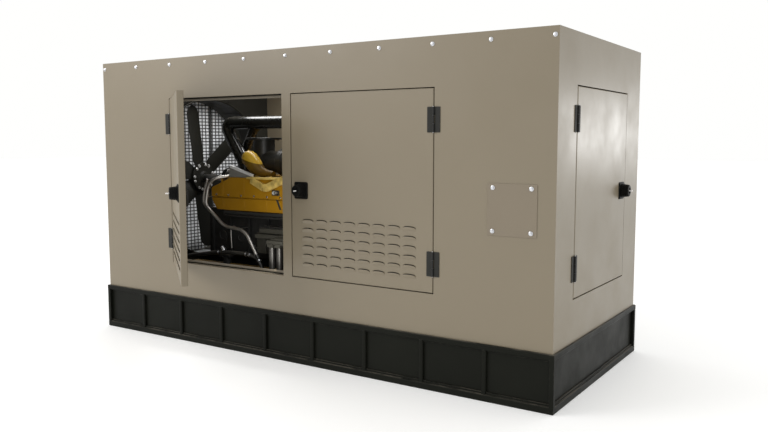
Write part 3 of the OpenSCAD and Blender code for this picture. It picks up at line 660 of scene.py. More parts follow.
# ------------------------------------------------------------------ radiator
# The radiator stands just inside the left end: a core of flat tubes and folded aluminium fins between two
# pressed steel header tanks, on side channels. A flat-bar guard is clipped over the core's inner face.
core_alloy = surface("fin_aluminium", (0.78, 0.79, 0.80), 0.45, metal=0.15, tone=0.10, patch=0.12,
                     grain=0.6, grain_size=0.002, brushed=(1, 0.25, 2.5))
guard_paint = surface("guard_paint", (0.020, 0.020, 0.018), 0.5, tone=0.2, grain=0.15)
core_low, core_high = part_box("radiator_core")
guard_t, guard_bar = 0.007, 0.008
cell_w, cell_h = 0.043, 0.031

core = bmesh.new()
block(core, core_low, (core_high.x - guard_t - 0.004, core_high.y, core_high.z))
tube_count = 44
for i in range(tube_count):
    z = core_low.z + (i + 0.5) * (core_high.z - core_low.z) / tube_count
    low = (core_high.x - guard_t - 0.0045, core_low.y + 0.001, z - 0.0015)
    block(core, low, (core_high.x - guard_t - 0.0015, core_high.y - 0.001, z + 0.0015))
core_black = surface("core_coating", (0.020, 0.020, 0.020), 0.6, tone=0.2, patch=0.2, grain=0.8,
                     grain_size=0.0015, brushed=(1, 0.3, 3.0), dust=0.1)
for k in range(tube_count):
    z = core_low.z + (k + 0.5) * (core_high.z - core_low.z) / tube_count
    block(core, (core_low.x, core_low.y + 0.001, z - 0.002),
          (core_low.x + 0.006, core_high.y - 0.001, z + 0.002), finish=1)
for face in core.faces:
    if face.calc_center_median().x < core_low.x + 0.007:
        face.material_index = 1
piece("radiator_core_block", core, [core_alloy, core_black], "root", ["radiator_core"])

guard = bmesh.new()
for count, step, across_z in ((int((core_high.z - core_low.z) / cell_h), cell_h, True),
                              (int((core_high.y - core_low.y) / cell_w), cell_w, False)):
    middle = (core_low.z + core_high.z) / 2 if across_z else (core_low.y + core_high.y) / 2
    for i in range(count + 1):
        at = middle + (i - count / 2) * step
        if across_z:
            low = (core_high.x - 0.004, core_low.y, at - guard_bar / 2)
            high = (core_high.x - 0.001, core_high.y, at + guard_bar / 2)
        else:
            low = (core_high.x - guard_t, at - guard_bar / 2, core_low.z)
            high = (core_high.x - 0.004, at + guard_bar / 2, core_high.z)
        block(guard, low, high)
for y in (-0.272, 0.272):
    block(guard, (core_high.x - 0.001, y - 0.011, core_low.z),
          (core_high.x + 0.004, y + 0.011, core_high.z))
piece("core_guard", guard, guard_paint, "root", edge=0.0008)

tank_paint = surface("radiator_paint", (0.012, 0.012, 0.012), 0.45, tone=0.2, grain=0.2, dust=0.2)
keep(["radiator_frame"], tank_paint, edge=0.004)
filler = bmesh.new()
frame_low, frame_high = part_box("radiator_frame")
neck = Matrix.Translation(((frame_low.x + frame_high.x) / 2, 0.35, frame_high.z - 0.002))
lathe(filler, [(0.030, 0), (0.030, 0.014), (0.042, 0.016), (0.044, 0.018), (0.044, 0.030), (0.040, 0.034),
               (0.020, 0.037), (0.004, 0.038)], neck)
for side in (-1, 1):
    block(filler, (-0.012, min(side * 0.036, side * 0.060), 0.019),
          (0.012, max(side * 0.036, side * 0.060), 0.029), neck)
piece("radiator_pressure_cap", filler, zinc, "root", edge=0.0015)

# ------------------------------------------------------------------ fan shroud
# A rolled steel ring, with a bead turned along its free edge and a lapped seam at the top, carries the air
# from the fan to the core. The bulkhead plate that it passes through closes off the cold end of the bay.
shroud_paint = surface("shroud_paint", (0.020, 0.019, 0.0145), 0.40, specular=0.22, tone=0.18, patch=0.25,
                       grain=0.25, dust=0.15)
keep(["fan_shroud"], shroud_paint, edge=0)
fan_z, ring_r, ring_x = 1.270, 0.707, -1.600
bead = bmesh.new()
bead_r = 0.009
along_x = Matrix.Translation((ring_x, 0, fan_z)) @ Matrix.Rotation(math.pi / 2, 4, "Y")
lathe(bead, [(ring_r + bead_r * math.cos(a), bead_r * math.sin(a))
             for a in [math.tau * k / 10 for k in range(11)]], along_x, sides=96, caps=False)
for angle in (8, 34):
    seam = Matrix.Translation((0, 0, fan_z)) @ Matrix.Rotation(math.radians(-angle), 4, "X")
    block(bead, (-1.872, -0.019, 0.6995), (ring_x - 0.004, 0.019, 0.7032), seam)
for k in range(24):
    spot = Matrix.Translation((0, 0, fan_z)) @ Matrix.Rotation(math.tau * (k + 0.5) / 24, 4, "X")
    flange_bolt(bead, spot @ Matrix.Translation((-1.657, 0, 0.745)) @ Matrix.Rotation(math.pi / 2, 4, "Y"),
                size=0.8)
bmesh.ops.remove_doubles(bead, verts=bead.verts, dist=1e-6)
piece("shroud_bead_and_seams", bead, shroud_paint, "root", edge=0.0008, outward=True)

# A bright metal plate along the ring's inner bottom is painted reflection: its bright colour stands in for
# the glint of the lit core on the ring.
glint_plate = bmesh.new()
arcs = [math.radians(-99 + 1.5 * k) for k in range(12)]
section = ((-1.83, 0.7032), (-1.83, 0.6985), (-1.70, 0.6985), (-1.70, 0.7032))
skin(glint_plate, [[Vector((x, r * math.cos(a), fan_z + r * math.sin(a))) for x, r in section] for a in arcs])
bmesh.ops.recalc_face_normals(glint_plate, faces=glint_plate.faces)
painted_glint_and_bolt_metal = surface("painted_glint_and_bolt_metal", (0.86, 0.86, 0.85), 0.30, metal=0.6, tone=0.1, grain=0.2,
                       brushed=(1, 0.2, 0.2))
piece("shroud_painted_glint_plate", glint_plate, painted_glint_and_bolt_metal, "root", edge=0.001)

# ------------------------------------------------------------------ fan
# A pusher fan in black glass-filled nylon: six round-tipped paddles, a little cambered and twisted, bolted
# between two steel discs on the hub. Its steel shaft runs back through a bracket on the engine to a
# grooved pulley.
blade_black = surface("fan_nylon", (0.017, 0.017, 0.0135), 0.50, tone=0.2, grain=0.3, grain_size=0.002,
                      specular=0.25, dust=0.1)
shaft_metal = surface("shaft_steel", (0.42, 0.41, 0.40), 0.38, metal=1.0, tone=0.15, brushed=(0.1, 1, 1),
                      grain=0.25)
fan_x, fan_tip, chord, blade_t = -1.745, 0.660, 0.174, 0.006
blade_count, fan_phase, root_r = 6, 8.0, 0.080


def fan_blade(drawn, matrix):
    """One paddle along the local Z axis, made of ribbons across its chord."""
    tip_r = chord / 2
    radii = [root_r, 0.11, 0.16, 0.25, 0.35, 0.45, fan_tip - tip_r]
    radii += [fan_tip - tip_r + tip_r * math.sin(math.radians(a)) for a in (15, 30, 45, 58, 70, 79, 86, 89)]
    rings = []
    for r in radii:
        past = max(0.0, r - (fan_tip - tip_r)) / tip_r
        half = chord / 2 * math.sqrt(max(0.0, 1 - past * past))
        if r < 0.16:
            half *= 0.62 + 0.38 * (r - root_r) / (0.16 - root_r)
        pitch = math.radians(14 - 5 * (r - root_r) / (fan_tip - root_r))
        ring = []
        for side in (1, -1):
            for u in (-0.98, -0.9, -0.6, -0.2, 0.2, 0.6, 0.9, 0.98):
                v = u * side
                thick = blade_t / 2 * (0.35 + 0.65 * math.sqrt(1 - abs(v) ** 2.2)) * side
                camber = 0.010 * (1 - v * v) * half / (chord / 2)
                a, b = v * half, thick + camber - 0.005
                ring.append(matrix
                            @ Vector((b * math.cos(pitch) - a * math.sin(pitch),
                                      a * math.cos(pitch) + b * math.sin(pitch), r)))
        rings.append(ring)
    skin(drawn, rings)


fan = bmesh.new()
for k in range(blade_count):
    angle = math.radians(fan_phase + 360 * k / blade_count)
    turn = Matrix.Translation((fan_x, 0, fan_z)) @ Matrix.Rotation(angle, 4, "X")
    fan_blade(fan, turn)
    for aside in (-20, 20):
        spot = turn @ Matrix.Rotation(math.radians(aside), 4, "X") @ Matrix.Translation((0.0395, 0, 0.114))
        flange_bolt(fan, spot @ Matrix.Rotation(math.pi / 2, 4, "Y"), size=1.0)
axle = Matrix.Translation((0, 0, fan_z)) @ Matrix.Rotation(math.pi / 2, 4, "Y")
lathe(fan, [(0.020, fan_x - 0.030), (0.104, fan_x - 0.030), (0.110, fan_x - 0.026), (0.110, fan_x - 0.006),
            (0.098, fan_x), (0.098, fan_x + 0.014), (0.132, fan_x + 0.018), (0.132, fan_x + 0.037),
            (0.129, fan_x + 0.040), (0.060, fan_x + 0.040), (0.052, fan_x + 0.046), (0.036, fan_x + 0.052),
            (0.0262, fan_x + 0.053)], axle, sides=48)
pulley_x, pulley_w, pulley_r = -1.400, 0.035, 0.080
lathe(fan, [(0.0252, fan_x + 0.04), (0.0252, pulley_x - 0.004)], axle, sides=32, finish=1)
lathe(fan, [(0.0248, pulley_x + pulley_w - 0.002), (0.0248, -1.290)], axle, sides=32, finish=1)
grooves = [(0.020, pulley_x), (0.076, pulley_x), (pulley_r, pulley_x + 0.002)]
for k in range(6):
    x = pulley_x + 0.004 + k * 0.0046
    grooves += [(pulley_r, x), (pulley_r - 0.004, x + 0.0021), (pulley_r, x + 0.0042)]
grooves += [(pulley_r, pulley_x + 0.033), (0.076, pulley_x + pulley_w),
            (0.030, pulley_x + pulley_w - 0.001)]
lathe(fan, grooves, axle, sides=48, finish=1)
bmesh.ops.recalc_face_normals(fan, faces=fan.faces)
# The hub bolts take the bright metal, whose brightness is partly their zinc plating and partly a painted
# highlight.
for face in fan.faces:
    middle = face.calc_center_median()
    ring = math.hypot(middle.y, middle.z - fan_z)
    if abs(ring - 0.114) < 0.018 and middle.x > fan_x + 0.0402:
        face.material_index = 2
piece("cooling_fan", fan, [blade_black, shaft_metal, painted_glint_and_bolt_metal], "fan_body", ["fan"])

# ------------------------------------------------------------------ fan drive
# The crankshaft's front pulley drives the fan pulley above it through a ribbed rubber belt.
pulley_iron = surface("pulley_iron", (0.10, 0.10, 0.098), 0.5, metal=0.8, tone=0.2, grain=0.3)
belt_rubber = surface("belt_rubber", (0.010, 0.010, 0.010), 0.75, tone=0.2, grain=0.5, grain_size=0.001)
crank_z = 0.900
lower = bmesh.new()
crank_axle = Matrix.Translation((0, 0, crank_z)) @ Matrix.Rotation(math.pi / 2, 4, "Y")
lathe(lower, [(0.0402, pulley_x)] + grooves[1:-1] + [(0.0402, pulley_x + pulley_w - 0.001)], crank_axle,
      sides=48, caps=False)
piece("crankshaft_pulley", lower, pulley_iron, "crank_train", ["crank_pulley"], outward=True)
crank = bmesh.new()
lathe(crank,
      [(0.006, -1.398), (0.010, -1.4055), (0.036, -1.4055), (0.0395, -1.402), (0.0395, pulley_x - 0.001),
       (0.0408, pulley_x), (0.0408, pulley_x + pulley_w), (0.0395, pulley_x + pulley_w + 0.001),
       (0.0395, 1.004), (0.0365, 1.0095), (0.010, 1.0095), (0.006, 1.002)], crank_axle, sides=48)
block(crank, (-1.405, -0.006, crank_z + 0.036), (-1.330, 0.006, crank_z + 0.0415))
piece("crankshaft", crank, shaft_metal, "crank_train", ["drive_shaft"], outward=True)

belt = bmesh.new()
inner, outer = pulley_r + 0.0006, pulley_r + 0.0095
section = [(pulley_x + 0.003, inner + 0.002), (pulley_x + 0.003, outer - 0.001), (pulley_x + 0.004, outer),
           (pulley_x + 0.031, outer), (pulley_x + 0.032, outer - 0.001), (pulley_x + 0.032, inner + 0.002)]
for k in range(6, -1, -1):
    section.append((pulley_x + 0.003 + k * 0.0048, inner + (0.002 if k % 2 else 0.0)))
rings = []
for low, start in ((False, 0), (True, 180)):
    for step in range(25):
        a = math.radians(start + 180 * step / 24)
        z = crank_z if low else fan_z
        rings.append([Vector((x, r * math.cos(a), z + r * math.sin(a))) for x, r in section])
skin(belt, rings + [rings[0]], caps=False)
bmesh.ops.remove_doubles(belt, verts=belt.verts, dist=1e-6)
piece("ribbed_fan_belt", belt, belt_rubber, "root", ["fan_belt"], outward=True)

# ------------------------------------------------------------------ engine
# A six-cylinder diesel. The cast iron block, the accessory shelf and the sump are painted black; the head
# and its rocker cover are cast in two halves, seamed and screwed together, and painted warm yellow.
iron_black = surface("engine_black", (0.014, 0.014, 0.013), 0.55, tone=0.25, patch=0.15, grain=0.5,
                     grain_size=0.004, dust=0.25)
casting_grey = surface("bare_casting", (0.055, 0.052, 0.040), 0.55, metal=0.3, tone=0.2, grain=0.5,
                       grain_size=0.003)
engine_yellow = surface("engine_yellow", (0.27, 0.132, 0.004), 0.42, specular=0.25, tone=0.08, patch=0.2,
                        grain=0.35, grain_size=0.004, dust=0.12, worn=(0.20, 0.10, 0.01))
pipe_grey = surface("sensor_grey", (0.20, 0.20, 0.185), 0.5, metal=0.3, tone=0.1, grain=0.2)
gold_bracket = surface("gold_passivate", (0.56, 0.40, 0.11), 0.42, metal=0.35, tone=0.4, patch=0.05,
                       grain=0.6, grain_size=0.004)
keep(["engine_block"], iron_black, edge=0)
keep(["oil_pan"], iron_black, edge=0.012)

block_details = bmesh.new()
for i in range(7):
    x = -1.245 + i * 0.21
    for side in (-1, 1):
        y = side * 0.331
        low = (x - 0.009, min(y, y + side * 0.022), 0.66)
        high = (x + 0.009, max(y, y + side * 0.022), 0.972)
        block(block_details, low, high)
for i in range(6):
    middle = facing((0, -1, 0), (-1.14 + i * 0.21, -0.331, 0.80))
    lathe(block_details,
          [(0.045, 0), (0.045, 0.008), (0.040, 0.010), (0.030, 0.010), (0.028, 0.006), (0.004, 0.006)],
          middle)
for i in range(12):
    for side in (-1, 1):
        flange_bolt(block_details, facing((0, side, 0), (-1.02 + i * 0.095, side * 0.410, 1.004), spin=i),
                    size=0.7)
piece("block_ribs_and_plugs", block_details, iron_black, "root", edge=0.003)

rail = bmesh.new()
for z0, z1, y0 in ((0.9995, 1.028, -0.436), (0.978, 0.992, -0.428)):
    block(rail, (-1.03, y0, z0), (0.04, -0.4105, z1))
piece("fuel_rail_and_gallery", rail, iron_black, "root", edge=0.008)

steps = bmesh.new()
for x0, x1, y0, y1, z0, z1 in ((-0.60, -0.20, -0.470, -0.421, 0.868, 0.905),
                               (-0.62, -0.22, -0.500, -0.4205, 0.830, 0.862),
                               (-0.655, -0.56, -0.440, -0.3305, 0.700, 0.868),
                               (-0.54, -0.19, -0.455, -0.3305, 0.790, 0.822),
                               (-0.17, 0.02, -0.455, -0.3305, 0.740, 0.905)):
    block(steps, (x0, y0, z0), (x1, y1, z1))
lathe(steps, [(0.004, 0), (0.030, 0), (0.034, 0.004), (0.034, 0.05), (0.026, 0.056), (0.004, 0.056)],
      facing((0, -1, 0), (-0.075, -0.455, 0.82)))
piece("pump_and_brackets", steps, casting_grey, "root", edge=0.005)

cover_y, seam_z = 0.450, 1.137


def cover_half(drawn, outline, levels):
    """A casting whose side view is an outline in X and Z; each level gives its half width and its inset."""
    rings = []
    for y, inset in levels:
        centre = Vector((sum(x for x, _ in outline) / len(outline),
                         sum(z for _, z in outline) / len(outline)))
        ring = []
        for x, z in outline:
            pull = (centre - Vector((x, z))).normalized() * inset
            ring.append(Vector((x + pull.x, y, z + pull.y)))
        rings.append(ring)
    skin(drawn, rings)


flare = [(-cover_y, 0.006), (-cover_y + 0.006, 0.0), (cover_y - 0.006, 0.0), (cover_y, 0.006)]
upper = bmesh.new()
cover_half(upper, [(-1.152, seam_z + 0.003), (0.056, seam_z + 0.003), (0.056, 1.300), (0.050, 1.305),
                   (-0.925, 1.305), (-0.940, 1.300), (-1.146, 1.216), (-1.153, 1.206)], flare)
cover_half(upper, [(-1.096, 1.034), (0.056, 1.034), (0.056, seam_z - 0.003), (-1.153, seam_z - 0.003),
                   (-1.153, seam_z - 0.02)], [(-0.444, 0.004), (-0.438, 0.0), (0.438, 0.0), (0.444, 0.004)])
piece("rocker_cover", upper, engine_yellow, "root", ["head_cover"], edge=0.007,
      outward=True)

trim = bmesh.new()
block(trim, (-1.147, -0.436, seam_z - 0.004), (0.052, 0.436, seam_z + 0.004))
for i in range(5):
    x = -1.02 + i * 0.235
    block(trim, (x - 0.011, -0.4515, 1.147), (x + 0.011, -0.449, 1.290))
    block(trim, (x - 0.011, -0.4455, 1.045), (x + 0.011, -0.443, 1.126))
for i in range(6):
    block(trim, (-0.86 + i * 0.16, -0.30, 1.304), (-0.80 + i * 0.16, 0.30, 1.309))
piece("cover_seam_and_ribs", trim, engine_yellow, "root", edge=0.0012)

screws = bmesh.new()
for i in range(9):
    flange_bolt(screws, facing((0, -1, 0), (-1.09 + i * 0.14, -0.4500, 1.158), spin=i), size=0.62)
for i in range(6):
    flange_bolt(screws, facing((0, 0, 1), (-0.83 + i * 0.16, -0.34, 1.305), spin=i), size=0.8)
piece("cover_screws", screws, zinc, "root")

plug = bmesh.new()
# The flat black plate round the sensor and the slanted black strip below it are painted shade: they stand in
# for the shade inside a recess and a slot in the cover.
block(plug, (-0.478, -0.4515, 1.172), (-0.398, -0.4495, 1.214), finish=1)
lathe(plug, [(0.004, 0), (0.0135, 0), (0.015, 0.002), (0.015, 0.024), (0.013, 0.027), (0.004, 0.027)],
      facing((0.75, -1, 0), (-0.455, -0.451, 1.195)), sides=12)
lathe(plug, [(0.004, 0), (0.0105, 0), (0.0105, 0.040), (0.004, 0.040)],
      facing((1, -0.15, 0), (-0.452, -0.462, 1.195)), sides=16)
rings = [[Vector((x + dx, y, z))
          for x, z in ((-0.445, 1.150), (-0.425, 1.150), (-0.385, 1.060), (-0.405, 1.060))]
         for y, dx in ((-0.4462, 0), (-0.4425, 0))]
skin(plug, rings, finish=1)
piece("sensor_and_painted_shade_plates", plug, [pipe_grey, iron_black], "root", edge=0.0008, outward=True)

bracket = bmesh.new()
strap = [(-0.690, 1.292), (-0.560, 1.232), (-0.515, 1.232), (-0.350, 1.300)]
for (xa, za), (xb, zb) in zip(strap, strap[1:]):
    slope = Vector((zb - za, 0, xa - xb)).normalized() * 0.030
    if slope.z < 0:
        slope = -slope
    rings = []
    for x, z in ((xa, za), (xb, zb)):
        rings.append([Vector((x + slope.x * k, y, z + slope.z * k))
                      for k, y in ((-1, -0.450), (-1, -0.462), (1, -0.470), (1, -0.450))])
    skin(bracket, rings)
block(bracket, (-0.73, -0.470, 1.297), (-0.33, -0.330, 1.312))
for x in (-0.69, -0.37, -0.53):
    flange_bolt(bracket, facing((0, 0, 1), (x, -0.40, 1.312)), size=0.9)
piece("lifting_bracket", bracket, gold_bracket, "root", edge=0.003, outward=True)

stay = bmesh.new()
rings = []
for x, z in ((-0.934, 1.393), (-0.715, 1.331), (-0.690, 1.3235)):
    rings.append([Vector((x, y, z + dz))
                  for y, dz in ((-0.446, -0.011), (-0.426, -0.011), (-0.426, 0.011), (-0.446, 0.011))])
skin(stay, rings)
gusset = ((-0.945, 1.388), (-0.72, 1.3225), (-0.72, 1.3055), (-0.955, 1.3055))
skin(stay, [[Vector((x, y, z)) for x, z in gusset] for y in (-0.440, -0.434)], finish=1)
bmesh.ops.recalc_face_normals(stay, faces=stay.faces)
bright_bar = surface("bright_bar", (0.72, 0.72, 0.70), 0.42, metal=0.35, tone=0.06, grain=0.1)
gusset_grey = surface("gusset_grey", (0.17, 0.165, 0.145), 0.5, metal=0.2, tone=0.1, grain=0.3)
piece("stay_bar_and_gusset", stay, [bright_bar, gusset_grey], "root", edge=0.002)

# ------------------------------------------------------------------ coolant and oil pipes
# Bright steel pipes with brazed bends run down the near side of the engine, held by P-clips, and end in
# rubber hoses. The hoses are pushed over the pipe ends and pinched with screw clamps.
pipe_steel = surface("pipe_steel", (0.42, 0.40, 0.37), 0.40, metal=0.95, tone=0.15, patch=0.1, grain=0.2,
                     worn=(0.6, 0.58, 0.55))
hose_rubber = surface("hose_rubber", (0.022, 0.021, 0.018), 0.45, tone=0.15, grain=0.4, grain_size=0.0012,
                      dust=0.3)


def bent(points, bend):
    """The same path with every corner rounded."""
    points = [Vector(p) for p in points]
    path = [points[0]]
    for before, corner, after in zip(points, points[1:], points[2:]):
        reach = min(bend, (corner - before).length * 0.48, (after - corner).length * 0.48)
        start = corner + (before - corner).normalized() * reach
        end = corner + (after - corner).normalized() * reach
        for k in range(8):
            u = k / 7
            path.append(start * (1 - u) ** 2 + corner * 2 * u * (1 - u) + end * u * u)
    return path + [points[-1]]


def sweep(drawn, points, radius, bend=0.05, sides=16, finish=0):
    """A round bar or tube along a path; the radius is one size, or a list with one size for each point."""
    path = bent(points, bend) if bend else [Vector(p) for p in points]
    radii = radius if isinstance(radius, list) else [radius] * len(path)
    along = (path[1] - path[0]).normalized()
    side = along.orthogonal().normalized()
    rings = []
    for k, point in enumerate(path):
        ahead = path[min(k + 1, len(path) - 1)] - path[max(k - 1, 0)]
        along = ahead.normalized()
        side = (side - along * side.dot(along)).normalized()
        other = along.cross(side)
        rings.append([point + (side * math.cos(a) + other * math.sin(a)) * radii[k]
                      for a in [math.tau * j / sides for j in range(sides)]])
    skin(drawn, rings, finish=finish)


def clamp(drawn, point, direction, r, finish=0):
    """A worm-drive clamp round a hose: the band and its screw housing."""
    place = facing(direction, point)
    lathe(drawn, [(r - 0.001, -0.006), (r + 0.0016, -0.006), (r + 0.0016, 0.006), (r - 0.001, 0.006)],
          place, sides=24, caps=False, finish=finish)
    block(drawn, (r, -0.009, -0.005), (r + 0.008, 0.009, 0.005), place, finish=finish)


pipes = bmesh.new()
sweep(pipes,
      [(-0.93, -0.30, 1.320), (-1.05, -0.505, 1.300), (-1.128, -0.505, 1.240), (-1.165, -0.505, 1.070),
       (-0.95, -0.505, 0.905), (-0.76, -0.505, 0.888), (-0.695, -0.505, 0.846), (-0.60, -0.505, 0.690)],
      0.0138, bend=0.05)
sweep(pipes,
      [(-1.140, -0.500, 1.285), (-1.176, -0.500, 1.200), (-1.196, -0.500, 1.090), (-1.150, -0.502, 1.050)],
      0.0105)
sweep(pipes, [(-0.882, -0.500, 0.880), (-0.880, -0.500, 0.800), (-0.874, -0.500, 0.730)], 0.0035, sides=10)
for x, y, z in ((-1.152, -0.500, 1.150), (-0.855, -0.502, 0.896), (-0.640, -0.502, 0.755)):
    block(pipes, (x - 0.010, y + 0.004, z - 0.013), (x + 0.010, -0.335, z - 0.010))
    block(pipes, (x - 0.010, y + 0.006, z - 0.014), (x + 0.010, y + 0.016, z + 0.014))
piece("steel_pipes", pipes, pipe_steel, "root", ["coolant_pipes"])

fittings = bmesh.new()
elbow_at = facing((-0.6, 0, 0.8), (-0.962, -0.500, 0.700))
lathe(fittings, [(0.004, 0), (0.021, 0), (0.023, 0.003), (0.023, 0.020), (0.016, 0.022), (0.016, 0.040),
                 (0.012, 0.043), (0.003, 0.043)], elbow_at, sides=12)
lathe(fittings, [(0.004, 0), (0.015, 0), (0.015, 0.030), (0.003, 0.030)],
      facing((0.9, 0, 0.45), (-0.985, -0.500, 0.695)), sides=12)
for x, z, direction, r in ((-0.715, 0.690, (1, 0, 0), 0.0185), (-0.675, 0.685, (1, 0, -0.2), 0.0170),
                           (-1.02, 0.684, (1, 0, 0.12), 0.0185), (-0.578, 0.650, (0.5, 0, -0.8), 0.0150)):
    clamp(fittings, (x, -0.500, z), direction, r)
piece("clamps_and_drain_tap", fittings, zinc, "root", edge=0.001)

hoses = bmesh.new()
sweep(hoses,
      [(-0.700, -0.500, 0.690), (-0.990, -0.500, 0.690), (-1.450, -0.450, 0.612), (-1.874, -0.450, 0.492)],
      0.0178, bend=0.15)
sweep(hoses,
      [(-0.715, -0.500, 0.690), (-0.600, -0.500, 0.668), (-0.548, -0.500, 0.600), (-0.548, -0.470, 0.480),
       (-0.548, -0.302, 0.480)], 0.0140, bend=0.06)
sweep(hoses, [(-0.601, -0.505, 0.700), (-0.588, -0.502, 0.668)], 0.0150, bend=0)
piece("rubber_hoses", hoses, hose_rubber, "root", ["lower_hose"])

# ------------------------------------------------------------------ fuel filters
# Two slim spin-on filters hang side by side from a cast head that is screwed to the block's shelf.
filter_can = surface("filter_can", (0.11, 0.105, 0.095), 0.36, metal=0.85, tone=0.15, grain=0.15, dust=0.2)
filters = bmesh.new()
for x in (-0.352, -0.276):
    can = Matrix.Translation((x, -0.600, 0))
    lathe(filters, [(0.004, 0.545), (0.016, 0.545), (0.0225, 0.549), (0.0248, 0.556), (0.0248, 0.752),
                    (0.0235, 0.756), (0.0235, 0.761), (0.0248, 0.765), (0.0248, 0.782), (0.021, 0.791),
                    (0.004, 0.791)], can, sides=24, finish=1)
    block(filters, (x - 0.027, -0.626, 0.787), (x + 0.027, -0.560, 0.812))
block(filters, (-0.396, -0.615, 0.808), (-0.230, -0.520, 0.836))
block(filters, (-0.380, -0.580, 0.834), (-0.245, -0.420, 0.852))
block(filters, (-0.360, -0.460, 0.850), (-0.265, -0.332, 0.877))
for x in (-0.378, -0.248):
    flange_bolt(filters, facing((0, 0, 1), (x, -0.570, 0.836)), size=0.6)
piece("fuel_filter_pair", filters, [casting_grey, filter_can], "root", ["fuel_filters"],
      edge=0.003)

# ------------------------------------------------------------------ turbocharger
# A cast compressor housing, painted with the engine, curls down from its round inlet end to a foot that is
# bolted to the rocker cover.
horn = bmesh.new()
centre = Vector((-0.783, -0.370, 1.458))
inlet_end = Vector((-0.9, 0, 0.42)).normalized()
inlet_r = 0.067
slices = (0.995, 0.96, 0.86, 0.70, 0.48, 0.22)
spine = [centre + inlet_end * inlet_r * k for k in slices]
bulb = [inlet_r * math.sqrt(1 - k * k) for k in slices]
spine += [centre + Vector(p)
          for p in ((0.012, 0, -0.010), (0.035, 0, -0.032), (0.062, 0.002, -0.062), (0.092, 0.006, -0.090),
                    (0.125, 0.012, -0.108), (0.165, 0.018, -0.118), (0.205, 0.02, -0.123),
                    (0.238, 0.02, -0.126))]
bulb += [0.067, 0.0665, 0.063, 0.053, 0.041, 0.032, 0.028, 0.027]
sweep(horn, spine, bulb, bend=0, sides=28)
lathe(horn, [(0.050, 1.306), (0.050, 1.318), (0.040, 1.321), (0.034, 1.33), (0.034, 1.37)],
      Matrix.Translation((-0.69, -0.36, 0)), sides=28)
lathe(horn, [(0.043, 1.306), (0.043, 1.316), (0.028, 1.320), (0.026, 1.345)],
      Matrix.Translation((-0.575, -0.35, 0)), sides=24)
bmesh.ops.recalc_face_normals(horn, faces=horn.faces)
# The housing's colour is split along a sloping line: the lighter yellow above it is painted light and the
# dark brownish yellow below it is painted shade.
shade_line, shade_normal = Vector((-0.783, 0, 1.450)), Vector((0.30, 0, 1)).normalized()
bmesh.ops.bisect_plane(horn, geom=horn.verts[:] + horn.edges[:] + horn.faces[:], plane_co=shade_line,
                       plane_no=shade_normal)
for face in horn.faces:
    if (face.calc_center_median() - shade_line).dot(shade_normal) < 0:
        face.material_index = 1
yellow_shade = surface("painted_shade_yellow", (0.085, 0.046, 0.003), 0.45, specular=0.2, tone=0.25, patch=0.06,
                       grain=0.4, grain_size=0.004)
yellow_lit = surface("painted_light_yellow", (0.42, 0.255, 0.016), 0.34, specular=0.35, tone=0.08, grain=0.35,
                     grain_size=0.004)
piece("compressor_horn", horn, [yellow_lit, yellow_shade], "root", ["compressor_housing"],
      sharp=50)
feet = bmesh.new()
for x, y, r in ((-0.69, -0.36, 0.043), (-0.575, -0.35, 0.036)):
    for a in (45, 135, 225, 315):
        at = (x + r * math.cos(math.radians(a)), y + r * math.sin(math.radians(a)), 1.316)
        flange_bolt(feet, facing((0, 0, 1), at), size=0.4)
piece("turbo_foot_screws", feet, zinc, "root")

# ------------------------------------------------------------------ exhaust elbow and charge pipe
# The exhaust leaves through a cast elbow with a broad round flange. The charge air comes back along a
# polished black pipe that bends down to the rocker cover, and a slimmer intake pipe runs beside it.
gloss_black = surface("gloss_black", (0.009, 0.009, 0.0075), 0.24, tone=0.2, patch=0.2, grain=0.05,
                      dust=0.1, coat=0.2)
cast_black = surface("cast_black", (0.020, 0.020, 0.017), 0.42, tone=0.25, grain=0.5, grain_size=0.003,
                     dust=0.2)
elbow = bmesh.new()
lathe(elbow, [(0.080, 1.612), (0.155, 1.612), (0.157, 1.614), (0.157, 1.628), (0.155, 1.630),
              (0.098, 1.630), (0.096, 1.626), (0.078, 1.626), (0.078, 1.614)],
      Matrix.Translation((-0.870, -0.100, 0)), sides=64, caps=False)
sweep(elbow,
      [(-0.870, -0.100, 1.620), (-0.870, -0.100, 1.560), (-0.870, -0.100, 1.440), (-0.735, -0.100, 1.424),
       (-0.650, -0.100, 1.424)], 0.092, bend=0.12, sides=36)
lathe(elbow, [(0.004, -0.005), (0.104, -0.005), (0.115, 0.006), (0.115, 0.168), (0.104, 0.184),
              (0.052, 0.188), (0.046, 0.190), (0.003, 0.190)], facing((1, 0, 0), (-0.660, -0.100, 1.425)),
      sides=48)
for x in (-0.60, -0.53):
    lathe(elbow, [(0.114, -0.004), (0.119, -0.004), (0.119, 0.004), (0.114, 0.004)],
          facing((1, 0, 0), (x, -0.100, 1.425)), sides=48, caps=False)
lathe(elbow, [(0.070, 1.306), (0.070, 1.320), (0.050, 1.325), (0.050, 1.36)],
      Matrix.Translation((-0.57, -0.10, 0)), sides=32)
piece("exhaust_elbow", elbow, cast_black, "root", ["flanged_elbow"], edge=0.002,
      outward=True)
ring_bolts = bmesh.new()
for k in range(8):
    a = math.radians(22.5 + 45 * k)
    flange_bolt(ring_bolts,
                facing((0, 0, -1), (-0.870 + 0.128 * math.cos(a), -0.1 + 0.128 * math.sin(a), 1.612)),
                size=0.7)
piece("elbow_flange_bolts", ring_bolts, cam_steel, "root")

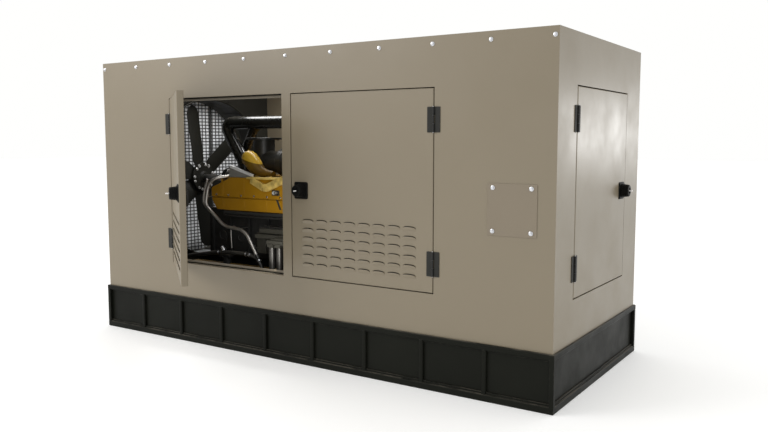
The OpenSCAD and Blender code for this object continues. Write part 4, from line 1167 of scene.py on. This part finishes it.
charge = bmesh.new()
sweep(charge,
      [(-0.252, -0.100, 1.760), (-1.335, -0.100, 1.760), (-1.090, -0.100, 1.400), (-1.090, -0.100, 1.307)],
      0.0545, bend=0.13, sides=36)
for point, direction in (((-1.188, -0.1, 1.544), (0.562, 0, -0.827)), ((-1.09, -0.1, 1.325), (0, 0, 1))):
    lathe(charge, [(0.054, -0.012), (0.0562, -0.008), (0.0562, 0.008), (0.054, 0.012)],
          facing(direction, point), sides=36, caps=False)
sweep(charge,
      [(-0.252, 0.010, 1.755), (-1.055, 0.010, 1.755), (-1.205, 0.010, 1.490), (-1.100, 0.010, 1.390),
       (-1.100, 0.010, 1.230)], 0.040, bend=0.10, sides=32)
piece("charge_pipe", charge, gloss_black, "root", ["charge_air_pipe"], outward=True)

# ------------------------------------------------------------------ air cleaner
# A round steel canister on two strap legs over the engine; its end cover is held on by four clips.
can_paint = surface("canister_paint", (0.030, 0.030, 0.029), 0.45, tone=0.15, grain=0.2, dust=0.3)
cleaner = bmesh.new()
barrel = facing((1, 0, 0), (-0.250, -0.100, 1.760))
lathe(cleaner,
      [(0.056, 0), (0.060, 0.004), (0.135, 0.006), (0.146, 0.014), (0.1485, 0.030), (0.1485, 0.120),
       (0.1425, 0.126), (0.1425, 0.136), (0.1485, 0.142), (0.1485, 0.440), (0.1500, 0.446), (0.1500, 0.462),
       (0.1460, 0.468), (0.1460, 0.570), (0.138, 0.586), (0.090, 0.594), (0.086, 0.590), (0.004, 0.590)],
      barrel, sides=56)
for x in (-0.120, 0.010):
    lathe(cleaner, [(0.1480, -0.015), (0.1499, -0.015), (0.1499, 0.015), (0.1480, 0.015)],
          facing((1, 0, 0), (x, -0.1, 1.76)), sides=56, caps=False)
    for y in (-0.139, -0.061):
        block(cleaner, (x - 0.014, y - 0.002, 1.3105), (x + 0.014, y + 0.002, 1.650))
    block(cleaner, (x - 0.015, -0.140, 1.3055), (x + 0.015, -0.060, 1.3115))
for a in (40, 130, 220, 310):
    clip = Matrix.Translation((0.196, -0.1, 1.76)) @ Matrix.Rotation(math.radians(a), 4, "X")
    block(cleaner, (-0.020, -0.009, 0.1440), (0.026, 0.009, 0.1498), clip)
piece("air_cleaner_canister", cleaner, can_paint, "root", ["air_cleaner"], edge=0.001,
      outward=True)

# ------------------------------------------------------------------ silencer
# The exhaust silencer hangs under the roof on two strap brackets. Its dished ends are rolled on, and its
# outlet is a plain pipe stub standing up through the roof.
heat_grey = surface("heat_paint", (0.075, 0.072, 0.068), 0.6, metal=0.3, tone=0.3, patch=0.15, grain=0.4,
                    grain_size=0.003, dust=0.2)
keep(["silencer"], heat_grey, edge=0)
bands = bmesh.new()
for x in (0.508, 0.620, 0.960, 1.280, 1.392):
    lathe(bands, [(0.1492, -0.008), (0.1535, -0.005), (0.1535, 0.005), (0.1492, 0.008)],
          facing((1, 0, 0), (x, 0.250, 1.980)), sides=56, caps=False)
for x in (0.5015, 1.3985):
    lathe(bands, [(0.130, 0), (0.126, 0.0012), (0.060, 0.0014), (0.056, 0.0002)],
          facing((1 if x > 1 else -1, 0, 0), (x, 0.250, 1.980)), sides=48, caps=False)
lathe(bands, [(0.0455, -0.012), (0.055, -0.012), (0.055, -0.002), (0.052, 0), (0.055, 0.002),
              (0.055, 0.012), (0.0455, 0.012)], facing((-0.18, 0.35, 0.075), (-0.28, 0.075, 1.4625)),
      sides=32, caps=False)
piece("silencer_bands", bands, heat_grey, "root", outward=True)

# ------------------------------------------------------------------ alternator
# The alternator is bolted to the flywheel housing. Its round frame has cast cooling ribs, a slotted air
# inlet at its free end and a pressed terminal box on top with a screwed lid.
alternator_paint = surface("alternator_paint", (0.060, 0.062, 0.060), 0.42, tone=0.1, grain=0.25, dust=0.35)
copper = surface("wound_copper", (0.38, 0.13, 0.05), 0.4, metal=0.8, tone=0.25, grain=0.8, grain_size=0.004,
                 brushed=(0.15, 1, 1))
keep(["alternator"], alternator_paint, edge=0)
keep(["alternator_rotor"], copper, edge=0.003)
ribs = bmesh.new()
axle_z = 0.900
rib_count, feet_reach = 40, 0.78
for k in range(rib_count):
    a = math.tau * (k + 0.5) / rib_count
    spot = Matrix.Translation((0, 0, axle_z)) @ Matrix.Rotation(a - math.pi / 2, 4, "X")
    if abs(math.cos(a)) >= feet_reach:
        block(ribs, (0.24, -0.003, 0.257), (0.90, 0.003, 0.274), spot)
    elif math.sin(a) < 0:
        block(ribs, (0.30, -0.003, 0.257), (0.86, 0.003, 0.272), spot)
for x in (0.205, 0.925):
    lathe(ribs, [(0.258, -0.010), (0.268, -0.008), (0.268, 0.008), (0.258, 0.010)],
          facing((1, 0, 0), (x, 0, axle_z)), sides=64, caps=False)
block(ribs, (0.416, -0.194, 1.3050), (0.824, 0.194, 1.3290))
piece("alternator_ribs_and_lid", ribs, alternator_paint, "root", edge=0.0015,
      outward=True)
lid_screws = bmesh.new()
for x in (0.44, 0.62, 0.80):
    for side in (-1, 1):
        flange_bolt(lid_screws, facing((0, side, 0), (x, side * 0.194, 1.317)), size=0.4)
for k in range(12):
    a = math.radians(15 + 30 * k)
    flange_bolt(lid_screws, facing((1, 0, 0), (0.180, 0.283 * math.cos(a), axle_z + 0.283 * math.sin(a))),
                size=0.7)
piece("alternator_screws", lid_screws, zinc, "root")

# ------------------------------------------------------------------ skid and mounts
# Engine and alternator ride on two folded steel channels, painted with the engine, through rubber mounts.
skid_paint = surface("skid_paint", (0.33, 0.19, 0.030), 0.5, tone=0.2, grain=0.2, dust=0.3,
                     worn=(0.10, 0.08, 0.05))
mount_rubber = surface("mount_rubber", (0.016, 0.016, 0.015), 0.7, tone=0.2, grain=0.5, dust=0.3)
keep(["skid_rails"], skid_paint, edge=0.002)
keep(["engine_mounts"], mount_rubber, edge=0.004)
mount_nuts = bmesh.new()
for x in (-1.10, -0.10, 0.32, 0.86):
    for side in (-1, 1):
        for dx in (-0.045, 0.045):
            flange_bolt(mount_nuts, facing((0, 0, -1), (x + dx, side * 0.352, 0.552)), size=0.8)
for x in (-1.40, -0.60, 0.20, 1.25):
    for side in (-1, 1):
        flange_bolt(mount_nuts, facing((0, 0, 1), (x, side * 0.345, 0.368)), size=1.0)
piece("skid_bolts", mount_nuts, zinc, "root")

# ------------------------------------------------------------------ control panel
# A painted steel cabinet stands behind the end door on folded posts. Its face carries a screen, six soft
# keys, two lamps, a mushroom stop button and the handle of the main breaker.
cabinet_paint = surface("cabinet_paint", (0.30, 0.31, 0.30), 0.4, tone=0.05, grain=0.2, dust=0.3)
face_paint = surface("panel_face", (0.030, 0.031, 0.032), 0.45, tone=0.1, grain=0.3, grain_size=0.0012)
screen_glass = surface("screen_glass", (0.012, 0.020, 0.018), 0.08, tone=0.1, grain=0.0, coat=0.6)
key_grey = surface("key_grey", (0.22, 0.23, 0.24), 0.5, tone=0.08, grain=0.2)
lamp_green = surface("lamp_green", (0.05, 0.30, 0.09), 0.2, tone=0.05, grain=0.02, coat=0.5)
red_plastic = surface("red_plastic", (0.42, 0.012, 0.010), 0.32, tone=0.06, grain=0.08,
                      worn=(0.5, 0.06, 0.05), worn_width=0.001)
breaker_black = surface("breaker_plastic", (0.018, 0.018, 0.019), 0.42, tone=0.15, grain=0.3,
                        worn=(0.06, 0.06, 0.06))
keep(["control_box"], cabinet_paint, edge=0)
keep(["control_face"], face_paint, edge=0)
keep(["estop_button"], red_plastic, edge=0.0015)
keep(["breaker_handle"], breaker_black, edge=0.0015)
panel_x = 1.902
bezel = bmesh.new()
rings = []
for grow, x in ((0.0, 1.9012), (0.0, 1.9125), (0.004, 1.9135), (0.016, 1.9135), (0.020, 1.9120)):
    rings.append([Vector((x, y, z))
                  for y, z in ((-0.320 + grow, 1.490 + grow), (-0.080 - grow, 1.490 + grow),
                               (-0.080 - grow, 1.632 - grow), (-0.320 + grow, 1.632 - grow))])
skin(bezel, rings)
bmesh.ops.recalc_face_normals(bezel, faces=bezel.faces)
for face in bezel.faces:
    if face.calc_center_median().x > 1.9118 and face.calc_area() > 0.015:
        face.material_index = 1
for k in range(6):
    y = -0.305 + k * 0.042
    block(bezel, (1.9100, y - 0.013, 1.446), (1.9146, y + 0.013, 1.470), finish=2)
for y in (0.10, 0.20):
    lathe(bezel,
          [(0.003, 0), (0.0125, 0), (0.0125, 0.004), (0.0105, 0.009), (0.006, 0.0115), (0.003, 0.012)],
          facing((1, 0, 0), (panel_x - 0.001, y, 1.56)), sides=24, finish=3)
piece("panel_screen_and_keys", bezel, [face_paint, screen_glass, key_grey, lamp_green], "root",
      edge=0.001)
panel_screws = bmesh.new()
for y in (-0.385, 0.385):
    for z in (1.02, 1.375, 1.73):
        flange_bolt(panel_screws, facing((1, 0, 0), (panel_x, y, z)), size=0.5)
piece("panel_screws", panel_screws, zinc, "root")

# ------------------------------------------------------------------ battery
# Two starter batteries stand in a folded steel tray. Each has a moulded case with stiffening ribs and filler
# plugs along its lid; case, posts and tray are drawn as one and are all finished black.
battery_case = surface("battery_case", (0.020, 0.020, 0.021), 0.5, tone=0.12, grain=0.4, dust=0.35)
keep(["battery"], battery_case, edge=0.003)
cells = bmesh.new()
for x0, x1 in ((0.640, 0.880), (0.900, 1.140)):
    for k in range(7):
        x = x0 + 0.024 + k * (x1 - x0 - 0.048) / 6
        block(cells, (x - 0.0035, -0.6935, 0.425), (x + 0.0035, -0.6895, 0.545))
        block(cells, (x - 0.0035, -0.5105, 0.425), (x + 0.0035, -0.5065, 0.545))
    for k in range(6):
        plug = Matrix.Translation((x0 + 0.035 + k * (x1 - x0 - 0.07) / 5, -0.600, 0.5775))
        lathe(cells, [(0.0125, 0), (0.0125, 0.004), (0.010, 0.006), (0.004, 0.006)], plug, sides=16)
piece("battery_ribs_and_plugs", cells, battery_case, "root", edge=0.001)

# ------------------------------------------------------------------ discharge grille
# The hot air leaves the left end through a punched steel grille in the housing's colour.
keep(["discharge_grille"], tan_paint, edge=0)
